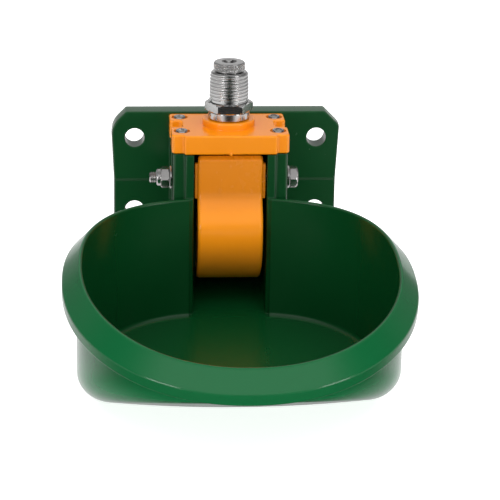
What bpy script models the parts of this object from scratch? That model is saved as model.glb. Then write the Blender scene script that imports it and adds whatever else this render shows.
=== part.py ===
"""A livestock drinking bowl that hangs on a wall, fed by a push-paddle valve.

The frame: +Z up, the wall is the plane Y = 0, the bowl reaches out to -Y, and the origin is the middle of
the four mounting holes on that plane. Heights below are counted from the bowl's lowest point, and reaches
are counted out from the wall; the empty that carries every piece brings the heights to the frame.
"""

import math

import bmesh
import bpy
import numpy as np
from mathutils import Matrix, Vector

# Clearances
GAP = 0.0003
OVERRUN = 0.002
SINK = 0.001

# Wall plate: a tray open to the wall, with a flange, two ribs and a tube round each mounting hole
PLATE_WIDTH = 0.1222
PLATE_HEIGHT = 0.0692
PLATE_DEPTH = 0.012
PLATE_CHAMFER = 0.008
PLATE_FLARE = 0.0015
PLATE_PARTING_DROP = 0.003
PLATE_SKIN = 0.0035
PLATE_FLANGE = 0.003
PLATE_RIB = 0.0024
PLATE_WEB = 0.012
HOLE_CENTRE_HEIGHT = 0.082
HOLE_SPAN_X = 0.097
HOLE_SPAN_Z = 0.0402
HOLE_RADIUS = 0.0052
HOLE_TUBE_RADIUS = 0.0085

# Bowl: rim oval, drooping to the front, with a turned-down lip that is hollow beneath
RIM_HALF_WIDTH = 0.0778
RIM_REAR_REACH = 0.0565
RIM_WIDEST_REACH = 0.1378
RIM_FRONT_REACH = 0.2218
RIM_REAR_HEIGHT = 0.082
RIM_DROP = 0.0298
RIM_DROP_POWER = 1.75
REAR_OVAL_POWER = 2.4
FRONT_OVAL_POWER = 2.15
LIP_REACH = 0.0093
LIP_HEIGHT = 0.0155
LIP_FACE_HEIGHT = 0.0053
LIP_SHOULDER = 0.0018
LIP_SHOULDER_TURN = math.radians(41.5)
LIP_FOOT_ROUNDING = 0.0012
LIP_CREST = 0.0008
LIP_THICKNESS = 0.0026
LIP_UNDERCUT = 0.0093
LIP_FILLET = 0.0007
SKIRT_OFFSET = 0.0022
BOWL_WALL = 0.003
WALL_DRAFT = 0.0015
FLOOR_SLOPE = 0.232
SCOOP_SLOPE = 0.45
BOTTOM_ROUNDING = 0.010
BOTTOM_CROWN_RADIUS = 0.64
OUTER_REAR_CORNER = 0.006
OUTER_SIDE_CORNER = 0.014
INNER_REAR_CORNER = 0.003
INNER_SIDE_CORNER = 0.011
CORNER_ROOM_SHARE = 0.8

# Tower that carries the valve, with a channel for the paddle and a screw column at each corner
TOWER_FRONT_REACH = 0.057
TOWER_HALF_WIDTH = 0.0235
COLUMN_HALF_WIDTH = 0.0298
COLUMN_SETBACK = 0.0025
FRONT_COLUMN_DEPTH = 0.0155
REAR_COLUMN_DEPTH = 0.0150
TOWER_EDGE = 0.0012
TOWER_FOOT_HEIGHT = 0.068
CHANNEL_HALF_WIDTH = 0.019
CHANNEL_WALL = 0.003
CHANNEL_BACK_REACH = 0.012
CHANNEL_STEP = 0.00015
REST_RIB_HEIGHT = 0.004
REST_RIB_REACH = 0.030

# Valve cover
COVER_HEIGHT = 0.010
COVER_ABOVE_PIVOT = 0.0151
COVER_OVERHANG = 0.0006
COVER_BACK_CLEARANCE = 0.0005
COVER_EDGE = 0.0008
COVER_POCKET_DEPTH = 0.0055
COVER_POCKET_SIDE = 0.018
COVER_POCKET_WALL = 0.005
BOSS_RADIUS = 0.0137
BOSS_HEIGHT = 0.0036
BOSS_EDGE = 0.0006
SCREW_X = 0.025
SCREW_HEAD_RADIUS = 0.0034
SCREW_HEAD_HEIGHT = 0.0021
SCREW_SHANK_RADIUS = 0.0017
SCREW_LENGTH = 0.018
SCREW_SEAT_RADIUS = 0.0042
SCREW_SEAT_DEPTH = 0.0014

# Valve: steel body on the axis of the inlet
VALVE_REACH = 0.034
SHANK_RADIUS = 0.008
SHANK_DROP = 0.0025
COLLAR_RADIUS = 0.01095
COLLAR_HEIGHT = 0.0038
HEX_ACROSS_FLATS = 0.022
HEX_HEIGHT = 0.0052
HEX_CHAMFER = 0.0006
THREAD_RADIUS_TOP = 0.0100
THREAD_RADIUS_FOOT = 0.01045
THREAD_HEIGHT = 0.0157
THREAD_CHAMFER = 0.0012
INLET_BORE_RADIUS = 0.0065
SEAT_BORE_RADIUS = 0.0036
SEAT_THICKNESS = 0.009
CAP_RADIUS = 0.00825
CAP_HEIGHT = 0.0049
CAP_EDGE = 0.0004
PLUG_LENGTH = 0.006
SOCKET_ACROSS_FLATS = 0.0066
STRAINER_THICKNESS = 0.0012
STRAINER_HOLE_RADIUS = 0.0011
STRAINER_HOLE_RING = 0.0034
GASKET_THICKNESS = 0.0015
GASKET_RADIUS = 0.0115
LOCKNUT_HEIGHT = 0.005
LOCKNUT_ACROSS_FLATS = 0.022
STEM_RADIUS = 0.002
STEM_HEAD_RADIUS = 0.0050
STEM_HEAD_HEIGHT = 0.003
STEM_TIP = 0.0012
SEAL_RADIUS = 0.0054
SEAL_THICKNESS = 0.002
SPRING_RADIUS = 0.0042
SPRING_WIRE = 0.0004
SPRING_TURNS = 7

# Paddle and its hinge bolt
PIVOT_REACH = 0.046
PIVOT_HEIGHT = 0.0904
BOLT_RADIUS = 0.003
BOLT_HEAD_FLATS = 0.010
BOLT_HEAD_HEIGHT = 0.004
BOLT_END = 0.004
NUT_HEIGHT = 0.0042
NUT_COLLAR_HEIGHT = 0.0020
NUT_COLLAR_RADIUS = 0.0045
INSERT_THICKNESS = 0.0016
INSERT_RADIUS = 0.0040
WASHER_RADIUS = 0.006
WASHER_THICKNESS = 0.0012
RUNNING_GAP = 0.0003
PANEL_HALF_WIDTH = 0.0169
PANEL_REACH = 0.056
PANEL_TOP_GAP = 0.0013
PANEL_BEVEL = 0.0022
PANEL_DEPTH = 0.0045
CREASE_HEIGHT = 0.0808
NOSE_RADIUS = 0.028
NOSE_START_ANGLE = math.radians(45)
NOSE_END_ANGLE = math.radians(-78)
NOSE_BACK_STEP = 0.0015
PADDLE_SKIN = 0.0026
PADDLE_EDGE = 0.0018
PADDLE_LIP = 0.0015
EAR_HALF_WIDTH = 0.0184
EAR_DEPTH = 0.0040
EAR_FRONT_REACH = 0.0542
EAR_HALF_HEIGHT = 0.0095
HUB_RADIUS = 0.006
SHELF_THICKNESS = 0.0032
SHELF_RISE = 0.0012
SHELF_REAR_REACH = 0.0275
SHELF_HALF_WIDTH = 0.012

# Faceting
RIM_STEPS = 72
CORNER_STEPS = 5
LIP_STEPS = 6
LIP_UNDERCUT_SHARES = (0.667, 0.559)
FLOOR_SHARES = (0.08, 0.25, 0.5, 0.78)
NOSE_STEPS = 18
EDGE_STEPS = 3
ROUND_STEPS = 36
SMALL_STEPS = 20

RIM_LENGTH = RIM_FRONT_REACH - RIM_REAR_REACH
COVER_SEAT_HEIGHT = PIVOT_HEIGHT + COVER_ABOVE_PIVOT
PANEL_TOP_HEIGHT = COVER_SEAT_HEIGHT - PANEL_TOP_GAP
TOWER_TOP_HEIGHT = COVER_SEAT_HEIGHT - GAP
COVER_TOP_HEIGHT = COVER_SEAT_HEIGHT + COVER_HEIGHT
BOSS_TOP_HEIGHT = COVER_TOP_HEIGHT + BOSS_HEIGHT
FRONT_COLUMN_REACH = TOWER_FRONT_REACH - COLUMN_SETBACK - FRONT_COLUMN_DEPTH / 2
REAR_COLUMN_REACH = PLATE_DEPTH + REAR_COLUMN_DEPTH / 2


def remove_objects():
    for thing in list(bpy.data.objects):
        bpy.data.objects.remove(thing)


def material(name, colour, roughness, metallic=0.0):
    """One Principled material of a plain colour, given as linear red, green and blue."""
    made = bpy.data.materials.new(name)
    made.use_nodes = True
    shader = made.node_tree.nodes["Principled BSDF"]
    shader.inputs["Base Color"].default_value = (*colour, 1.0)
    shader.inputs["Roughness"].default_value = roughness
    shader.inputs["Metallic"].default_value = metallic
    made.diffuse_color = (*colour, 1.0)
    return made


def place(name, mesh, finish, at=(0, 0, 0), turn=(0, 0, 0), parent=None):
    """An object at a reach and height of the bowl, carried by the frame's empty or by another empty."""
    thing = bpy.data.objects.new(name, mesh)
    bpy.context.collection.objects.link(thing)
    if finish is not None:
        mesh.materials.append(finish)
    thing.parent = parent or bpy.data.objects["wall_frame"]
    thing.location = at
    thing.rotation_euler = turn
    return thing


def closed_mesh(name, vertices, faces, smooth_below=40):
    """A mesh with its faces turned outwards, smooth but for edges sharper than the angle in degrees."""
    mesh = bpy.data.meshes.new(name)
    mesh.from_pydata([tuple(map(float, v)) for v in vertices], [], faces)
    shell = bmesh.new()
    shell.from_mesh(mesh)
    bmesh.ops.recalc_face_normals(shell, faces=shell.faces)
    shell.to_mesh(mesh)
    shell.free()
    mesh.shade_smooth()
    mesh.set_sharp_from_angle(angle=math.radians(smooth_below))
    return mesh


def lofted(name, loops, ring=False, poles=None, smooth_below=40):
    """Loops of equally many points joined in order. A ring joins the last loop to the first; otherwise
    each end is closed by a flat face, or by a fan to its pole where poles are given."""
    loops = [np.asarray(loop, float) for loop in loops]
    count = len(loops[0])
    vertices = list(np.concatenate(loops))
    faces = []
    pairs = [(row, row + 1) for row in range(len(loops) - 1)]
    if ring:
        pairs.append((len(loops) - 1, 0))
    for low, high in pairs:
        for step in range(count):
            after = (step + 1) % count
            faces.append((low * count + step, low * count + after,
                          high * count + after, high * count + step))
    if not ring:
        for row, pole in ((0, 0), (len(loops) - 1, 1)):
            edge = [row * count + step for step in range(count)]
            if poles is None:
                faces.append(tuple(edge))
                continue
            vertices.append(poles[pole])
            tip = len(vertices) - 1
            faces += [(edge[step], edge[(step + 1) % count], tip) for step in range(count)]
    return closed_mesh(name, vertices, faces, smooth_below)


def circle(radius, height, steps=ROUND_STEPS):
    angles = np.arange(steps) * 2 * np.pi / steps
    return np.stack([radius * np.cos(angles), radius * np.sin(angles), np.full(steps, height)], axis=1)


def hexagon(across_flats, height, steps=ROUND_STEPS, inset=0.0):
    """Points at even angles along a hexagon with a flat towards -Y; inset pulls its corners in to a circle."""
    angles = np.arange(steps) * 2 * np.pi / steps
    from_flat = np.mod(angles + np.pi / 6 + np.pi / 2, np.pi / 3) - np.pi / 6
    radii = np.minimum(across_flats / 2 / np.cos(from_flat), across_flats / math.sqrt(3) - inset)
    return np.stack([radii * np.cos(angles), radii * np.sin(angles), np.full(steps, height)], axis=1)


def turned(name, profile, ring=False, steps=ROUND_STEPS):
    """A turned piece: its profile is a list of radius and height."""
    return lofted(name, [circle(radius, height, steps) for radius, height in profile], ring=ring)


def prism(name, outline, axis, low, high, edge=0.0):
    """An outline of two coordinates carried along X, Y or Z, its edges along that axis rounded by edge."""
    order = {"X": (2, 0, 1), "Y": (0, 2, 1), "Z": (0, 1, 2)}[axis]
    rows = []
    for along in (low, high):
        rows.append([[(u, v, along)[index] for index in order] for u, v in outline])
    mesh = lofted(name, rows)
    if edge:
        shell = bmesh.new()
        shell.from_mesh(mesh)
        line = Vector([float(letter == axis) for letter in "XYZ"])
        along = [e for e in shell.edges
                 if abs((e.verts[1].co - e.verts[0].co).normalized().dot(line)) > math.cos(math.radians(1))]
        bmesh.ops.bevel(shell, geom=along, offset=edge, segments=2, affect="EDGES", profile=0.5)
        shell.to_mesh(mesh)
        shell.free()
        mesh.set_sharp_from_angle(angle=math.radians(40))
    return mesh


def join_or_cut(target, operand, operation):
    """A live Boolean whose other shape is a hidden guide."""
    operand.hide_render = True
    operand.display_type = "WIRE"
    modifier = target.modifiers.new(operand.name, "BOOLEAN")
    modifier.operation = operation
    modifier.solver = "EXACT"
    modifier.object = operand


def guide(name, mesh, at=(0, 0, 0), turn=(0, 0, 0), parent=None):
    return place("guide_" + name, mesh, None, at, turn, parent)


def arc(centre, radius, start, end, steps):
    """Points of an arc in a plane, from the start angle to the end angle, both ends included."""
    angles = np.linspace(start, end, steps + 1)
    return [(centre[0] + radius * math.cos(a), centre[1] + radius * math.sin(a)) for a in angles]


def oval(half_width, rear, front, rear_power=REAR_OVAL_POWER, front_power=FRONT_OVAL_POWER):
    """An oval about the bowl's widest line: superellipses of one half width, with a reach to the rear and
    one to the front."""
    angles = np.arange(RIM_STEPS) * 2 * np.pi / RIM_STEPS
    cosine, sine = np.cos(angles), np.sin(angles)
    power = np.where(sine > 0, rear_power, front_power)
    reach = np.where(sine > 0, rear, front)
    x = half_width * np.sign(cosine) * np.abs(cosine) ** (2 / power)
    y = -RIM_WIDEST_REACH + reach * np.sign(sine) * np.abs(sine) ** (2 / power)
    return x, y


def floor_height(x, y):
    """The bowl's outer bottom: one plane falls from the rear, one rises to the front, and a rounding of the
    line where they meet has the bowl's lowest point. Across, it rises a little to both sides."""
    mean, turn = (FLOOR_SLOPE - SCOOP_SLOPE) / 2, (FLOOR_SLOPE + SCOOP_SLOPE) / 2
    along = np.asarray(y) + RIM_WIDEST_REACH
    lowest = BOTTOM_ROUNDING * math.sqrt(turn ** 2 - mean ** 2)
    crown = np.asarray(x) ** 2 / (2 * BOTTOM_CROWN_RADIUS)
    return mean * along + turn * np.sqrt(along ** 2 + BOTTOM_ROUNDING ** 2) - lowest + crown


class Rim:
    """The rim line, with the lip's own directions at each of its points."""

    def __init__(self):
        self.x, self.y = oval(RIM_HALF_WIDTH, RIM_WIDEST_REACH - RIM_REAR_REACH,
                              RIM_FRONT_REACH - RIM_WIDEST_REACH)
        share = np.clip((-self.y - RIM_REAR_REACH) / RIM_LENGTH, 0, 1)
        self.z = RIM_REAR_HEIGHT - RIM_DROP * share ** RIM_DROP_POWER
        tilt = np.arctan(RIM_DROP / RIM_LENGTH * RIM_DROP_POWER * share ** (RIM_DROP_POWER - 1))
        along_x = np.roll(self.x, -1) - np.roll(self.x, 1)
        along_y = np.roll(self.y, -1) - np.roll(self.y, 1)
        length = np.hypot(along_x, along_y)
        out_x, out_y = along_y / length, -along_x / length
        self.out = np.stack([out_x, out_y * np.cos(tilt), out_y * np.sin(tilt)], axis=1)
        self.up = np.stack([np.zeros_like(tilt), -np.sin(tilt), np.cos(tilt)], axis=1)
        self.plan_out = np.stack([out_x, out_y], axis=1)
        turn = np.clip((0.5 - np.sin(np.arange(RIM_STEPS) * 2 * np.pi / RIM_STEPS)) / 0.7, 0, 1)
        self.side_share = turn ** 2 * (3 - 2 * turn)

    def point(self, outward, upward):
        """The loop of points this far outside the rim line and above it, square to the rim's own tilt."""
        line = np.stack([self.x, self.y, self.z], axis=1)
        return line + outward * self.out + upward * self.up


def shell_side(rim, wall_top, rear_corner, side_corner, lift, draft):
    """The loops of one face of the bowl below the lip, from the middle of its bottom up. The corner between
    bottom and wall grows from the rear to the sides, and shrinks where the front leaves it no room."""
    wall = wall_top[:, :2] - draft * rim.plan_out
    room = wall_top[:, 2] - floor_height(wall[:, 0], wall[:, 1]) - lift
    wanted = rear_corner + (side_corner - rear_corner) * rim.side_share
    radius = (wanted ** -4 + (CORNER_ROOM_SHARE * room) ** -4) ** -0.25
    base = wall - radius[:, None] * rim.plan_out
    middle = np.array([0, -RIM_WIDEST_REACH])
    plans = [middle + share * (base - middle) for share in FLOOR_SHARES]
    loops = [np.column_stack([plan, floor_height(plan[:, 0], plan[:, 1]) + lift]) for plan in plans]
    for step in range(CORNER_STEPS + 1):
        angle = step / CORNER_STEPS * np.pi / 2
        plan = base + (wall - base) * math.sin(angle)
        height = floor_height(plan[:, 0], plan[:, 1]) + lift + radius * (1 - math.cos(angle))
        loops.append(np.column_stack([plan, height]))
    return loops


def lip_section():
    """The lip's section from the body's wall outwards, as pairs outside and above the rim's crest: up the
    wall, under the flat band, down behind the lip's face, round its foot, up the face and over the shoulder
    to the band, which runs straight up to the crest."""
    foot, back = -LIP_HEIGHT, LIP_REACH - LIP_THICKNESS
    corner = -LIP_HEIGHT + LIP_FACE_HEIGHT
    shoulder = arc((LIP_REACH - LIP_SHOULDER, corner), LIP_SHOULDER, 0, LIP_SHOULDER_TURN, LIP_STEPS // 2)
    start = (2 * LIP_CREST * math.cos(LIP_SHOULDER_TURN), -LIP_CREST / 2)
    slope = (shoulder[-1][1] - start[1]) / (shoulder[-1][0] - start[0])
    inner = [(SKIRT_OFFSET, -LIP_UNDERCUT * LIP_UNDERCUT_SHARES[0]),
             (SKIRT_OFFSET + LIP_FILLET, -LIP_UNDERCUT * LIP_UNDERCUT_SHARES[1])]
    under_end = back - LIP_FILLET
    inner.append((under_end, inner[-1][1] + slope * (under_end - inner[-1][0])))
    inner += [(back, inner[-1][1] - LIP_FILLET), (back, foot + LIP_FILLET), (back + LIP_FILLET, foot)]
    foot_arc = arc((LIP_REACH - LIP_FOOT_ROUNDING, foot + LIP_FOOT_ROUNDING), LIP_FOOT_ROUNDING,
                   -math.pi / 2, 0, LIP_STEPS // 2)
    return [*inner, *foot_arc, *shoulder, start, (0.0, 0.0)]


def bowl_shell():
    """The scoop-shaped bowl: bottom, outer wall, hollow lip, inner wall and floor as one closed surface."""
    rim = Rim()
    outer_top = rim.point(SKIRT_OFFSET, -LIP_HEIGHT)
    loops = shell_side(rim, outer_top, OUTER_REAR_CORNER, OUTER_SIDE_CORNER, 0.0, 0.0)
    loops.append(outer_top)
    loops += [rim.point(*at) for at in lip_section()]
    inside = SKIRT_OFFSET - BOWL_WALL
    loops.append(rim.point(inside / 2, -LIP_CREST / 2))
    loops.append(rim.point(inside, -2 * LIP_CREST))
    inner_top = rim.point(inside, -LIP_HEIGHT / 2)
    inner = shell_side(rim, inner_top, INNER_REAR_CORNER, INNER_SIDE_CORNER, BOWL_WALL, WALL_DRAFT)
    loops.append(inner_top)
    loops += inner[::-1]
    middle_y = -RIM_WIDEST_REACH
    poles = [(0, middle_y, floor_height(0, middle_y) + lift) for lift in (0, BOWL_WALL)]
    return lofted("bowl_body", loops, poles=poles, smooth_below=35)


def tower_outline(grow=0.0, back=0.0):
    """The tower's plan, which the cover repeats a little larger: a block with a column at each corner."""
    front = -(TOWER_FRONT_REACH + grow)
    column_front = front + COLUMN_SETBACK
    side, column = TOWER_HALF_WIDTH + grow, COLUMN_HALF_WIDTH + grow
    notch_front = -(TOWER_FRONT_REACH - COLUMN_SETBACK - FRONT_COLUMN_DEPTH)
    notch_back = -(PLATE_DEPTH + REAR_COLUMN_DEPTH)
    right = [(side, front), (side, column_front), (column, column_front), (column, notch_front),
             (side, notch_front), (side, notch_back), (column, notch_back), (column, back)]
    return right + [(-x, y) for x, y in reversed(right)]


def plate_outline():
    """The plate's front view about the middle of its holes: square below, chamfered above, flaring a
    little over the upper half."""
    top, bottom = PLATE_HEIGHT / 2, -PLATE_HEIGHT / 2
    half = PLATE_WIDTH / 2
    low = half - PLATE_FLARE
    right = [(low, bottom + PLATE_CHAMFER / 4), (low, -PLATE_PARTING_DROP), (half, top - PLATE_CHAMFER),
             (half - PLATE_CHAMFER, top)]
    base = [(low - PLATE_CHAMFER / 4, bottom)]
    return base + right + [(-x, z) for x, z in reversed(base + right)]


def pocket_outline(side, level):
    """One of the four hollows in the plate's back, cut round by the tube of its mounting hole."""
    inner_x, outer_x = PLATE_WEB / 2, PLATE_WIDTH / 2 - PLATE_FLARE - PLATE_FLANGE
    inner_z, outer_z = PLATE_RIB / 2, PLATE_HEIGHT / 2 - PLATE_FLANGE
    hole_x, hole_z = HOLE_SPAN_X / 2, HOLE_SPAN_Z / 2
    start = -math.acos(min((outer_x - hole_x) / HOLE_TUBE_RADIUS, 1.0))
    tube = arc((hole_x, hole_z), HOLE_TUBE_RADIUS, start, -math.pi, 7)
    points = [(inner_x, inner_z), (outer_x, inner_z), *tube, (hole_x - HOLE_TUBE_RADIUS, outer_z),
              (inner_x, outer_z)]
    return [(side * x, level * z) for x, z in points]


def make_bowl(finish):
    bowl = place("bowl_body", bowl_shell(), finish)
    foot = floor_height(0, -TOWER_FRONT_REACH)
    back = floor_height(0, -CHANNEL_BACK_REACH + CHANNEL_WALL)
    housing = [(-TOWER_FRONT_REACH + SINK, foot + SINK), (-CHANNEL_BACK_REACH + CHANNEL_WALL, back + SINK),
               (-CHANNEL_BACK_REACH + CHANNEL_WALL, TOWER_TOP_HEIGHT - SINK),
               (-TOWER_FRONT_REACH + SINK, TOWER_TOP_HEIGHT - SINK)]
    join_or_cut(bowl, guide("channel_housing", prism(
        "channel_housing", housing, "X", -CHANNEL_HALF_WIDTH - CHANNEL_WALL,
        CHANNEL_HALF_WIDTH + CHANNEL_WALL)), "UNION")
    join_or_cut(bowl, guide("tower", prism(
        "tower", tower_outline(back=-PLATE_DEPTH / 2), "Z", TOWER_FOOT_HEIGHT, TOWER_TOP_HEIGHT,
        TOWER_EDGE)), "UNION")
    join_or_cut(bowl, guide("plate", prism(
        "plate", plate_outline(), "Y", -PLATE_DEPTH, 0), at=(0, 0, HOLE_CENTRE_HEIGHT)), "UNION")
    channel = [(-RIM_REAR_REACH - INNER_REAR_CORNER - OVERRUN, 0), (-CHANNEL_BACK_REACH, 0)]
    channel = [(y, floor_height(0, y) + BOWL_WALL + CHANNEL_STEP) for y, _ in channel]
    channel += [(-CHANNEL_BACK_REACH, TOWER_TOP_HEIGHT + OVERRUN), (channel[0][0], TOWER_TOP_HEIGHT + OVERRUN)]
    join_or_cut(bowl, guide("channel", prism(
        "channel", channel, "X", -CHANNEL_HALF_WIDTH, CHANNEL_HALF_WIDTH)), "DIFFERENCE")
    for side in (-1, 1):
        for level in (-1, 1):
            tag = ("left" if side < 0 else "right") + ("_low" if level < 0 else "_high")
            pocket = prism("pocket", pocket_outline(side, level), "Y", -PLATE_DEPTH + PLATE_SKIN, OVERRUN)
            join_or_cut(bowl, guide("pocket_" + tag, pocket, at=(0, 0, HOLE_CENTRE_HEIGHT)), "DIFFERENCE")
            hole = turned("hole", [(HOLE_RADIUS, -OVERRUN), (HOLE_RADIUS, PLATE_DEPTH + OVERRUN)], steps=28)
            at = (side * HOLE_SPAN_X / 2, 0, HOLE_CENTRE_HEIGHT + level * HOLE_SPAN_Z / 2)
            join_or_cut(bowl, guide("hole_" + tag, hole, at, turn=(math.pi / 2, 0, 0)), "DIFFERENCE")
        for reach, tag in ((FRONT_COLUMN_REACH, "front"), (REAR_COLUMN_REACH, "rear")):
            depth = SCREW_LENGTH - COVER_HEIGHT + SCREW_SEAT_DEPTH + OVERRUN
            radius = SCREW_SHANK_RADIUS + GAP
            pilot = turned("pilot", [(radius, -depth), (radius, OVERRUN)], steps=12)
            name = "pilot_" + tag + ("_left" if side < 0 else "_right")
            join_or_cut(bowl, guide(name, pilot, (side * SCREW_X, -reach, TOWER_TOP_HEIGHT)), "DIFFERENCE")
    reach = COLUMN_HALF_WIDTH + OVERRUN
    bore = turned("hinge_bore", [(BOLT_RADIUS + RUNNING_GAP, -reach), (BOLT_RADIUS + RUNNING_GAP, reach)],
                  steps=SMALL_STEPS)
    join_or_cut(bowl, guide("hinge_bore", bore, (0, -PIVOT_REACH, PIVOT_HEIGHT),
                            turn=(0, math.pi / 2, 0)), "DIFFERENCE")
    rest = shelf_bottom() - GAP
    rib = [(-REST_RIB_REACH, rest - REST_RIB_HEIGHT), (-REST_RIB_REACH, rest),
           (-CHANNEL_BACK_REACH + SINK, rest), (-CHANNEL_BACK_REACH + SINK, rest - REST_RIB_HEIGHT)]
    join_or_cut(bowl, guide("rest_rib", prism(
        "rest_rib", rib, "X", -CHANNEL_HALF_WIDTH - SINK, CHANNEL_HALF_WIDTH + SINK)), "UNION")
    return bowl


def shelf_bottom():
    return PIVOT_HEIGHT + SHELF_RISE - SHELF_THICKNESS


def make_cover(finish):
    """The moulded cover: the tower's plan, a boss round the valve and a pocket for the locknut below."""
    back = -(PLATE_DEPTH + COVER_BACK_CLEARANCE)
    block = prism("valve_cover", tower_outline(COVER_OVERHANG, back), "Z", 0, COVER_HEIGHT, TOWER_EDGE)
    cover = place("valve_cover", block, finish, (0, 0, COVER_SEAT_HEIGHT))
    soften = cover.modifiers.new("edges", "BEVEL")
    soften.width = COVER_EDGE / 2
    soften.segments = 1
    soften.limit_method = "ANGLE"
    soften.angle_limit = math.radians(60)
    axis = (0, -VALVE_REACH, COVER_SEAT_HEIGHT)
    top = COVER_HEIGHT + BOSS_HEIGHT
    boss = turned("boss", [(BOSS_RADIUS, COVER_HEIGHT - SINK), (BOSS_RADIUS, top - BOSS_EDGE),
                           (BOSS_RADIUS - BOSS_EDGE, top)])
    join_or_cut(cover, guide("boss", boss, axis), "UNION")
    bore = turned("bore", [(SHANK_RADIUS + GAP, -OVERRUN), (SHANK_RADIUS + GAP, top + OVERRUN)])
    join_or_cut(cover, guide("valve_bore", bore, axis), "DIFFERENCE")
    front, rear = -TOWER_FRONT_REACH + COVER_POCKET_WALL, back - COVER_POCKET_WALL
    sides = COVER_POCKET_SIDE
    pocket = [(-sides, front), (sides, front), (sides, rear), (-sides, rear)]
    join_or_cut(cover, guide("cover_pocket", prism("pocket", pocket, "Z", -OVERRUN, COVER_POCKET_DEPTH),
                             (0, 0, COVER_SEAT_HEIGHT)), "DIFFERENCE")
    for side, hand in ((-1, "left"), (1, "right")):
        for reach, end in ((FRONT_COLUMN_REACH, "front"), (REAR_COLUMN_REACH, "rear")):
            seat = COVER_HEIGHT - SCREW_SEAT_DEPTH
            wide, narrow = SCREW_SEAT_RADIUS, SCREW_SHANK_RADIUS + GAP
            stepped = turned("seat", [(narrow, -OVERRUN), (narrow, seat), (wide, seat),
                                      (wide, COVER_HEIGHT + OVERRUN)], steps=SMALL_STEPS)
            name = "screw_seat_" + end + "_" + hand
            join_or_cut(cover, guide(name, stepped, (side * SCREW_X, -reach, COVER_SEAT_HEIGHT)), "DIFFERENCE")
    return cover


def make_screws(finish):
    """Four pan-head screws through the cover's ears into the columns."""
    rounding = SCREW_HEAD_HEIGHT / 2
    crown = [(SCREW_HEAD_RADIUS - rounding + rounding * math.cos(a), SCREW_HEAD_HEIGHT - rounding
              + rounding * math.sin(a)) for a in np.linspace(0, np.pi / 2, 4)]
    profile = [(SCREW_SHANK_RADIUS / 3, -SCREW_LENGTH), (SCREW_SHANK_RADIUS, -SCREW_LENGTH + SCREW_SHANK_RADIUS),
               (SCREW_SHANK_RADIUS, 0), (SCREW_HEAD_RADIUS, 0), *crown]
    height = COVER_TOP_HEIGHT - SCREW_SEAT_DEPTH + GAP
    for side, hand in ((-1, "left"), (1, "right")):
        for reach, end in ((FRONT_COLUMN_REACH, "front"), (REAR_COLUMN_REACH, "rear")):
            mesh = turned("cover_screw", profile, steps=16)
            place("cover_screw_" + end + "_" + hand, mesh, finish, (side * SCREW_X, -reach, height))


def valve_levels():
    """Heights along the valve, worked up from the cover's boss."""
    collar = BOSS_TOP_HEIGHT + GAP
    hexagon_foot = collar + COLLAR_HEIGHT
    thread_foot = hexagon_foot + HEX_HEIGHT
    thread_top = thread_foot + THREAD_HEIGHT
    seat = COVER_SEAT_HEIGHT + SEAT_THICKNESS
    foot = COVER_SEAT_HEIGHT - SHANK_DROP
    return {"foot": foot, "seat": seat, "collar": collar, "hexagon": hexagon_foot,
            "thread": thread_foot, "top": thread_top, "plug": thread_top - PLUG_LENGTH,
            "head": seat + GAP + SEAL_THICKNESS + GAP}


def make_valve_body(finish):
    """The steel body: shank, collar, hexagon and tapered inlet thread outside, bore and seat inside."""
    z = valve_levels()
    flats = HEX_ACROSS_FLATS
    loops = [circle(SHANK_RADIUS, z["foot"]), circle(SHANK_RADIUS, z["collar"]),
             circle(COLLAR_RADIUS, z["collar"]), circle(COLLAR_RADIUS, z["hexagon"]),
             hexagon(flats, z["hexagon"] + HEX_CHAMFER), hexagon(flats, z["thread"] - HEX_CHAMFER),
             circle(COLLAR_RADIUS - HEX_CHAMFER / 2, z["thread"]), circle(THREAD_RADIUS_FOOT, z["thread"]),
             circle(THREAD_RADIUS_TOP, z["top"] - THREAD_CHAMFER),
             circle(THREAD_RADIUS_TOP - THREAD_CHAMFER, z["top"]), circle(INLET_BORE_RADIUS, z["top"]),
             circle(INLET_BORE_RADIUS, z["seat"]), circle(SEAT_BORE_RADIUS, z["seat"]),
             circle(SEAT_BORE_RADIUS, z["foot"])]
    place("valve_body", lofted("valve_body", loops, ring=True), finish, (0, -VALVE_REACH, 0))


def make_inlet_cap(finish):
    """The knurled inlet plug with its hexagonal way through."""
    z = valve_levels()
    low, high = z["top"] + GAP, z["top"] + GAP + CAP_HEIGHT
    plug = INLET_BORE_RADIUS - GAP
    loops = [circle(plug, z["plug"]), circle(plug, low), circle(CAP_RADIUS - CAP_EDGE, low),
             circle(CAP_RADIUS, low + CAP_EDGE), circle(CAP_RADIUS, high - CAP_EDGE),
             circle(CAP_RADIUS - CAP_EDGE, high), hexagon(SOCKET_ACROSS_FLATS, high),
             hexagon(SOCKET_ACROSS_FLATS, z["plug"])]
    place("inlet_cap", lofted("inlet_cap", loops, ring=True), finish, (0, -VALVE_REACH, 0))


def make_strainer(finish):
    """A perforated disc under the plug."""
    top = valve_levels()["plug"] - GAP
    disc = turned("strainer_screen", [(INLET_BORE_RADIUS - GAP, top - STRAINER_THICKNESS),
                                      (INLET_BORE_RADIUS - GAP, top)], steps=SMALL_STEPS)
    screen = place("strainer_screen", disc, finish, (0, -VALVE_REACH, 0))
    for index in range(7):
        angle = index * math.pi / 3
        ring = STRAINER_HOLE_RING if index else 0.0
        hole = turned("hole", [(STRAINER_HOLE_RADIUS, top - STRAINER_THICKNESS - OVERRUN),
                               (STRAINER_HOLE_RADIUS, top + OVERRUN)], steps=8)
        at = (ring * math.cos(angle), -VALVE_REACH + ring * math.sin(angle), 0)
        join_or_cut(screen, guide(f"strainer_hole_{index}", hole, at), "DIFFERENCE")


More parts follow.
